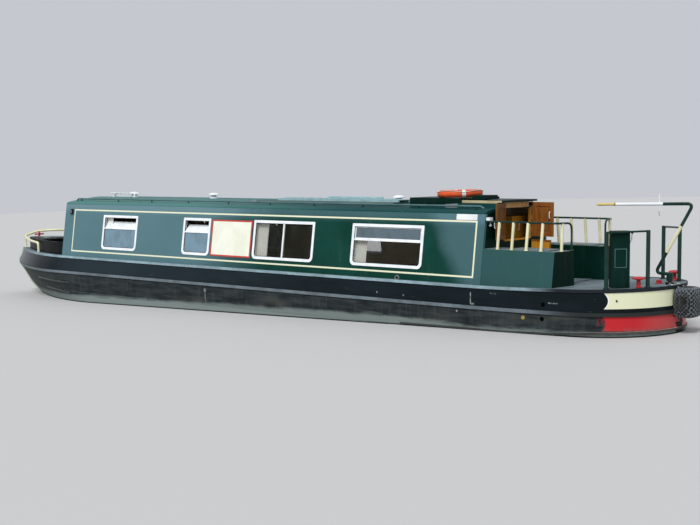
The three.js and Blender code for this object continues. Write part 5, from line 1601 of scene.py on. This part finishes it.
def onNeck(z):
    return neckFoot + neck * ((z - neckFoot.z) / neck.z)


barStart, barEnd = Vector((-6.81, 0, 2.3173)), Vector((-6.152, 0, 2.3031))
tiller = {"tube": 0.021, "paint": 0.0213, "bandLow": 1.70, "bandHigh": 2.045}
collarProfile = [(0.040, 0), (0.042, 0.01), (0.042, 0.045), (0.030, 0.055), (0.0215, 0.06)]
parts = [
    (tubeShape(tillerPath, tiller["tube"], 18), "railGreen"),
    (tubeShape([onNeck(tiller["bandLow"]), onNeck(tiller["bandHigh"])], tiller["paint"], 18), "cream"),
    (tubeShape([barStart, barEnd], tiller["paint"], 18), "white"),
    (latheShape(collarProfile, (-6.91, 0, 1.385), 24), "railGreen"),
]
pin = {"x": -6.755, "low": 2.225, "high": 2.44, "r": 0.006, "beads": 8, "beadZ": 2.335, "pitch": 0.013,
       "links": 6, "linkZ": 2.222, "linkPitch": 0.011, "link": 0.0065}
parts.append((tubeShape([(pin["x"], 0, pin["low"]), (pin["x"], 0, pin["high"])], pin["r"], 10), "white"))
for i in range(pin["beads"]):
    place = (pin["x"], 0, pin["beadZ"] + pin["pitch"] * i)
    parts.append((ballShape(place, 0.009 + 0.003 * (i % 2), 10), "white"))
for i in range(pin["links"]):
    place = (pin["x"] + 0.004 * math.sin(i), 0.003 * math.cos(i), pin["linkZ"] - pin["linkPitch"] * i)
    parts.append((ballShape(place, pin["link"], 8), "steel"))
makePiece("tiller_bar", parts, "steering", ("tiller_arm",), 40)
gripPath = [Vector((-6.149, 0, 2.303)).lerp(Vector((-5.876, 0, 2.2962)), i / 12) for i in range(13)]
gripRadii = [0.0165, 0.0195, 0.0198, 0.0185, 0.0175, 0.0170, 0.0172, 0.0178, 0.0186, 0.0194, 0.0199, 0.0185,
             0.012]
makePiece("tiller_handle", [(tubeShape(gripPath, 0.02, 20, radii=gripRadii), "grip"),
                            (tubeShape([gripPath[0], gripPath[1]], 0.0199, 20), "brass")],
          "steering", ("tiller_grip",), 50)


def rudderFace(centre, normal):
    return 1 if centre.z > 1.3 else 0


smoothCopy("rudder", ["bilge", "railGreen"], rudderFace, "rudder_blade", "steering", 40)
smoothCopy("propeller", ["bronze"], oneFace, "screw_blades", "screw", 40)
box0, box1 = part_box("engine_block")
parts = [(boxShape(box0.x, box1.x, box0.y, box1.y, box0.z, box1.z - 0.12), "iron"),
         (boxShape(box0.x + 0.08, box1.x - 0.08, box0.y + 0.09, box1.y - 0.09, box1.z - 0.12, box1.z),
          "iron")]
for k in range(4):
    x = box0.x + 0.16 + 0.19 * k
    parts.append((latheShape([(0.03, 0), (0.03, 0.16), (0.018, 0.165)], (x, box1.y - 0.16, box1.z - 0.17),
                             16), "steel"))
makePiece("engine", parts, "hull_body", ("engine_block",), 30, 0.006)

# woven rope fender: knotted barrel with a smooth cap and two stays to the deck
fender = {"x": -7.15, "z": 1.08, "rx": 0.150, "ry": 0.205, "rz": 0.190, "strands": 20, "turns": 0.7,
          "r": 0.0085, "power": 4.5, "clear": 0.022}


# point on the blunt barrel; height runs from -1 to 1
def fenderPoint(turn, height, out):
    c = math.cos(turn)
    s = math.sin(turn)
    power = fender["power"]
    h = abs(height) ** power
    r = ((1 - h) / (abs(c) ** power + abs(s) ** power)) ** (1 / power)
    return Vector((fender["x"] + (fender["rx"] * out) * c * r, fender["ry"] * out * s * r,
                   fender["z"] + fender["rz"] * height))


def fenderOpen(p):
    level = flatLevel(p.x, p.z)
    aft = hullForm["sternStart"] - hullForm["sternLength"] - fender["clear"]
    return abs(p.y) > counterHalf(p.x, level, fender["clear"]) or p.x < aft


smoothCopy("stern_fender", ["seal"], oneFace, "fender_core", "hull_body", 60)
points = []
edges = []


def addRun(run):
    if len(run) > 2:
        first = len(points)
        points.extend(run)
        edges.extend((first + i, first + i + 1) for i in range(len(run) - 1))


# keeps the stretches of a strand that lie outside the hull
def addStrand(strand):
    run = []
    for point in strand:
        if fenderOpen(point):
            run.append(point)
        else:
            addRun(run)
            run = []
    addRun(run)


for way in (-1, 1):
    for k in range(fender["strands"]):
        start = 2 * math.pi * k / fender["strands"]
        turns = [(start + way * fender["turns"] * math.pi * i / 40, -0.95 + 1.90 * i / 40) for i in range(41)]
        addStrand([fenderPoint(turn, height, 0.985) for turn, height in turns])
for height in (0.95, 0.975, -0.95):
    addStrand([fenderPoint(2 * math.pi * i / 48, height, 0.99) for i in range(49)])
strands = grown("strands", points, edges, cordTree("net"), {"Cord radius": fender["r"]})
grownPiece("fender_net", [strands], "hull_body", 60)
stay = {"x": -6.955, "y": 0.10, "r": 0.006, "bend": 0.02}
eyeProfile = [(0.018, 0), (0.018, 0.006), (0.007, 0.012), (0.007, 0.028)]
parts = []
for sign in (-1, 1):
    deck = deckAt(stay["x"])
    top = Vector((stay["x"], sign * stay["y"], deck + 0.01))
    route = [top, (-7.03, sign * 0.09, 1.292), (-7.075, sign * 0.075, 1.265)]
    parts.append((tubeShape(route, stay["r"], 8, stay["bend"]), "paleRope"))
    parts.append((latheShape(eyeProfile, (stay["x"], sign * stay["y"], deck + 0.002), 14), "steel"))
makePiece("fender_stays", parts, "hull_body", smoothAngle=50)
print("steering, screw and fender made")

# bow: breakwater, rail, stud and gas locker lid
smoothCopy("bow_coaming", ["black"], oneFace, "bow_breakwater", "hull_body", 30)
bowRail = {"inset": -0.054, "tube": 0.0228, "bend": 0.06, "footX": 5.66, "footZ": 1.227, "noseX": 7.07,
           "noseZ": 1.46, "postX": 7.052, "post": 0.0178, "level": 1.22}
# distance along the boat, height of the tube to port and to starboard
railTable = [
    (5.670, 1.400, 1.570), (5.932, 1.405, 1.577), (6.186, 1.408, 1.580), (6.445, 1.414, 1.580),
    (6.655, 1.420, 1.570), (6.860, 1.432, 1.545),
]
flangeProfile = [(0.027, 0), (0.027, 0.004), (0.023, 0.008)]
r = bowRail
footY = bowHalf(r["footX"], r["level"], r["inset"])
loop = [(r["footX"], footY, r["footZ"])]
loop += [(x, bowHalf(x, r["level"], r["inset"]), near) for x, near, far in railTable]
loop += [(r["noseX"], 0, r["noseZ"])]
loop += [(x, -bowHalf(x, r["level"], r["inset"]), far) for x, near, far in reversed(railTable)]
loop += [(r["footX"], -footY, r["footZ"])]
parts = [(tubeShape(loop, r["tube"], 18, r["bend"], 6), "cream"),
         (tubeShape([(r["postX"], 0, 1.222), (r["postX"], 0, 1.455)], r["post"], 14), "cream")]
for x, y in ((r["footX"], footY), (r["footX"], -footY), (r["postX"], 0)):
    parts.append((latheShape(flangeProfile, (x, y, 1.2245), 16), "cream"))
makePiece("bow_guard", parts, "hull_body", ("bow_rail",), 40)
bowStud = {"x": 6.59, "z": 1.456, "barZ": 1.508, "barYs": (-0.110, -0.103, 0.103, 0.110),
           "barRadii": (0.008, 0.015, 0.015, 0.008)}
studProfile = [(0, 0), (0.045, 0), (0.045, 0.006), (0.023, 0.012), (0.0185, 0.03), (0.0185, 0.1),
               (0.014, 0.107), (0, 0.109)]
crossBar = [(bowStud["x"], y, bowStud["barZ"]) for y in bowStud["barYs"]]
makePiece("bow_bollard", [
    (latheShape(studProfile, (bowStud["x"], 0, bowStud["z"]), 24), "red"),
    (tubeShape(crossBar, bowStud["barRadii"][1], 18, radii=bowStud["barRadii"]), "red"),
], "hull_body", ("bow_stud",), 40)

# lid of the gas locker: a plate that narrows forward, two hinges and a lifting ring
gasLid = {"aft": 5.95, "fore": 6.40, "aftHalf": 0.30, "foreHalf": 0.165, "low": 1.4565, "thick": 0.0125,
          "hingeX": 5.947, "hingeYs": (-0.18, 0.12), "hingeLong": 0.07, "hingeZ": 1.468, "hinge": 0.006,
          "ringX": 6.34, "ringZ": 1.473}
g = gasLid
outline = [(g["aft"], -g["aftHalf"]), (g["fore"], -g["foreHalf"]), (g["fore"], g["foreHalf"]),
           (g["aft"], g["aftHalf"])]
parts = [(plateShape(outline, g["thick"], lambda a, b, d: (a, b, gasLid["low"] + d)), "deck")]
for y in g["hingeYs"]:
    route = [(g["hingeX"], y, g["hingeZ"]), (g["hingeX"], y + g["hingeLong"], g["hingeZ"])]
    parts.append((tubeShape(route, g["hinge"], 10), "steel"))
parts.append((ringLoop(g["ringX"], 0, g["ringZ"]), "brass"))
makePiece("gas_lid", parts, "locker_lid", ("gas_locker_lid",), 30, 0.003)
print("bow made")


# skin fittings, drain holes and fairleads on the plating; each hole is a near-black disc, painted shade
def plateFitting(x, z, sign, outer, bore, paint):
    y = sign * min(bowHalf(x, flatLevel(x, z)), counterHalf(x, flatLevel(x, z)))
    rim = latheShape([(bore, 0), (outer * 0.8, 0), (outer, 0.002), (outer * 0.9, 0.006), (bore, 0.006)],
                     (0, 0, 0), 20, "Y")
    points = [Vector((p.x, sign * p.y, p.z)) + Vector((x, y, z)) for p in rim[0]]
    # near-black disc in the hole as painted shade
    plug = latheShape([(0, 0), (bore, 0), (bore, 0.0035), (0, 0.0035)], (0, 0, 0), 16, "Y")
    dark = [Vector((p.x, sign * p.y, p.z)) + Vector((x, y, z)) for p in plug[0]]
    return [((points, rim[1]), paint), ((dark, plug[1]), "bore")]


fittings = [
    # drain holes are near-black all over, painted shade
    {"x": -5.656, "z": 1.042, "outer": 0.030, "bore": 0.025, "paint": "bore"},
    {"x": -5.643, "z": 0.854, "outer": 0.030, "bore": 0.025, "paint": "bore"},
    {"x": -5.362, "z": 0.851, "outer": 0.028, "bore": 0.015, "paint": "brass"},
    {"x": -6.60, "z": 1.134, "outer": 0.014, "bore": 0.010, "paint": "seal"},
    {"x": -4.327, "z": 0.86, "outer": 0.018, "bore": 0.011, "paint": "steel"},
    {"x": 0.605, "z": 1.13, "outer": 0.016, "bore": 0.010, "paint": "seal"},
]
parts = []
for row in fittings:
    for sign in (1, -1):
        parts += plateFitting(row["x"], row["z"], sign, row["outer"], row["bore"], row["paint"])
ropeRing = {"x": -3.297, "y": 1.012, "z": 1.225, "wide": 0.035, "tall": 0.030, "r": 0.006, "steps": 20,
            "base": (-3.32, -3.274), "half": 0.014, "baseZ": (1.2235, 1.236)}
for sign in (1, -1):   # rope rings on the gunwale
    y = sign * ropeRing["y"]
    ring = []
    for k in range(ropeRing["steps"] + 1):
        a = 2 * math.pi * k / ropeRing["steps"]
        ring.append((ropeRing["x"] + ropeRing["wide"] * math.cos(a), y,
                     ropeRing["z"] + ropeRing["tall"] * (1 + math.sin(a))))
    parts.append((tubeShape(ring, ropeRing["r"], 8), "steel"))
    parts.append((boxShape(*ropeRing["base"], y - ropeRing["half"], y + ropeRing["half"],
                           *ropeRing["baseZ"]), "steel"))
makePiece("skin_fittings", parts, "hull_body", smoothAngle=40)
filler = {"x": -6.72, "y": -0.10}
capProfile = [(0, 0), (0.050, 0), (0.050, 0.010), (0.038, 0.014), (0.036, 0.040), (0.020, 0.048),
              (0, 0.049)]
cap = latheShape(capProfile, (filler["x"], filler["y"], deckAt(filler["x"]) + 0.001), 24)
makePiece("deck_filler", [(cap, "red")], "hull_body")
print("fittings made")
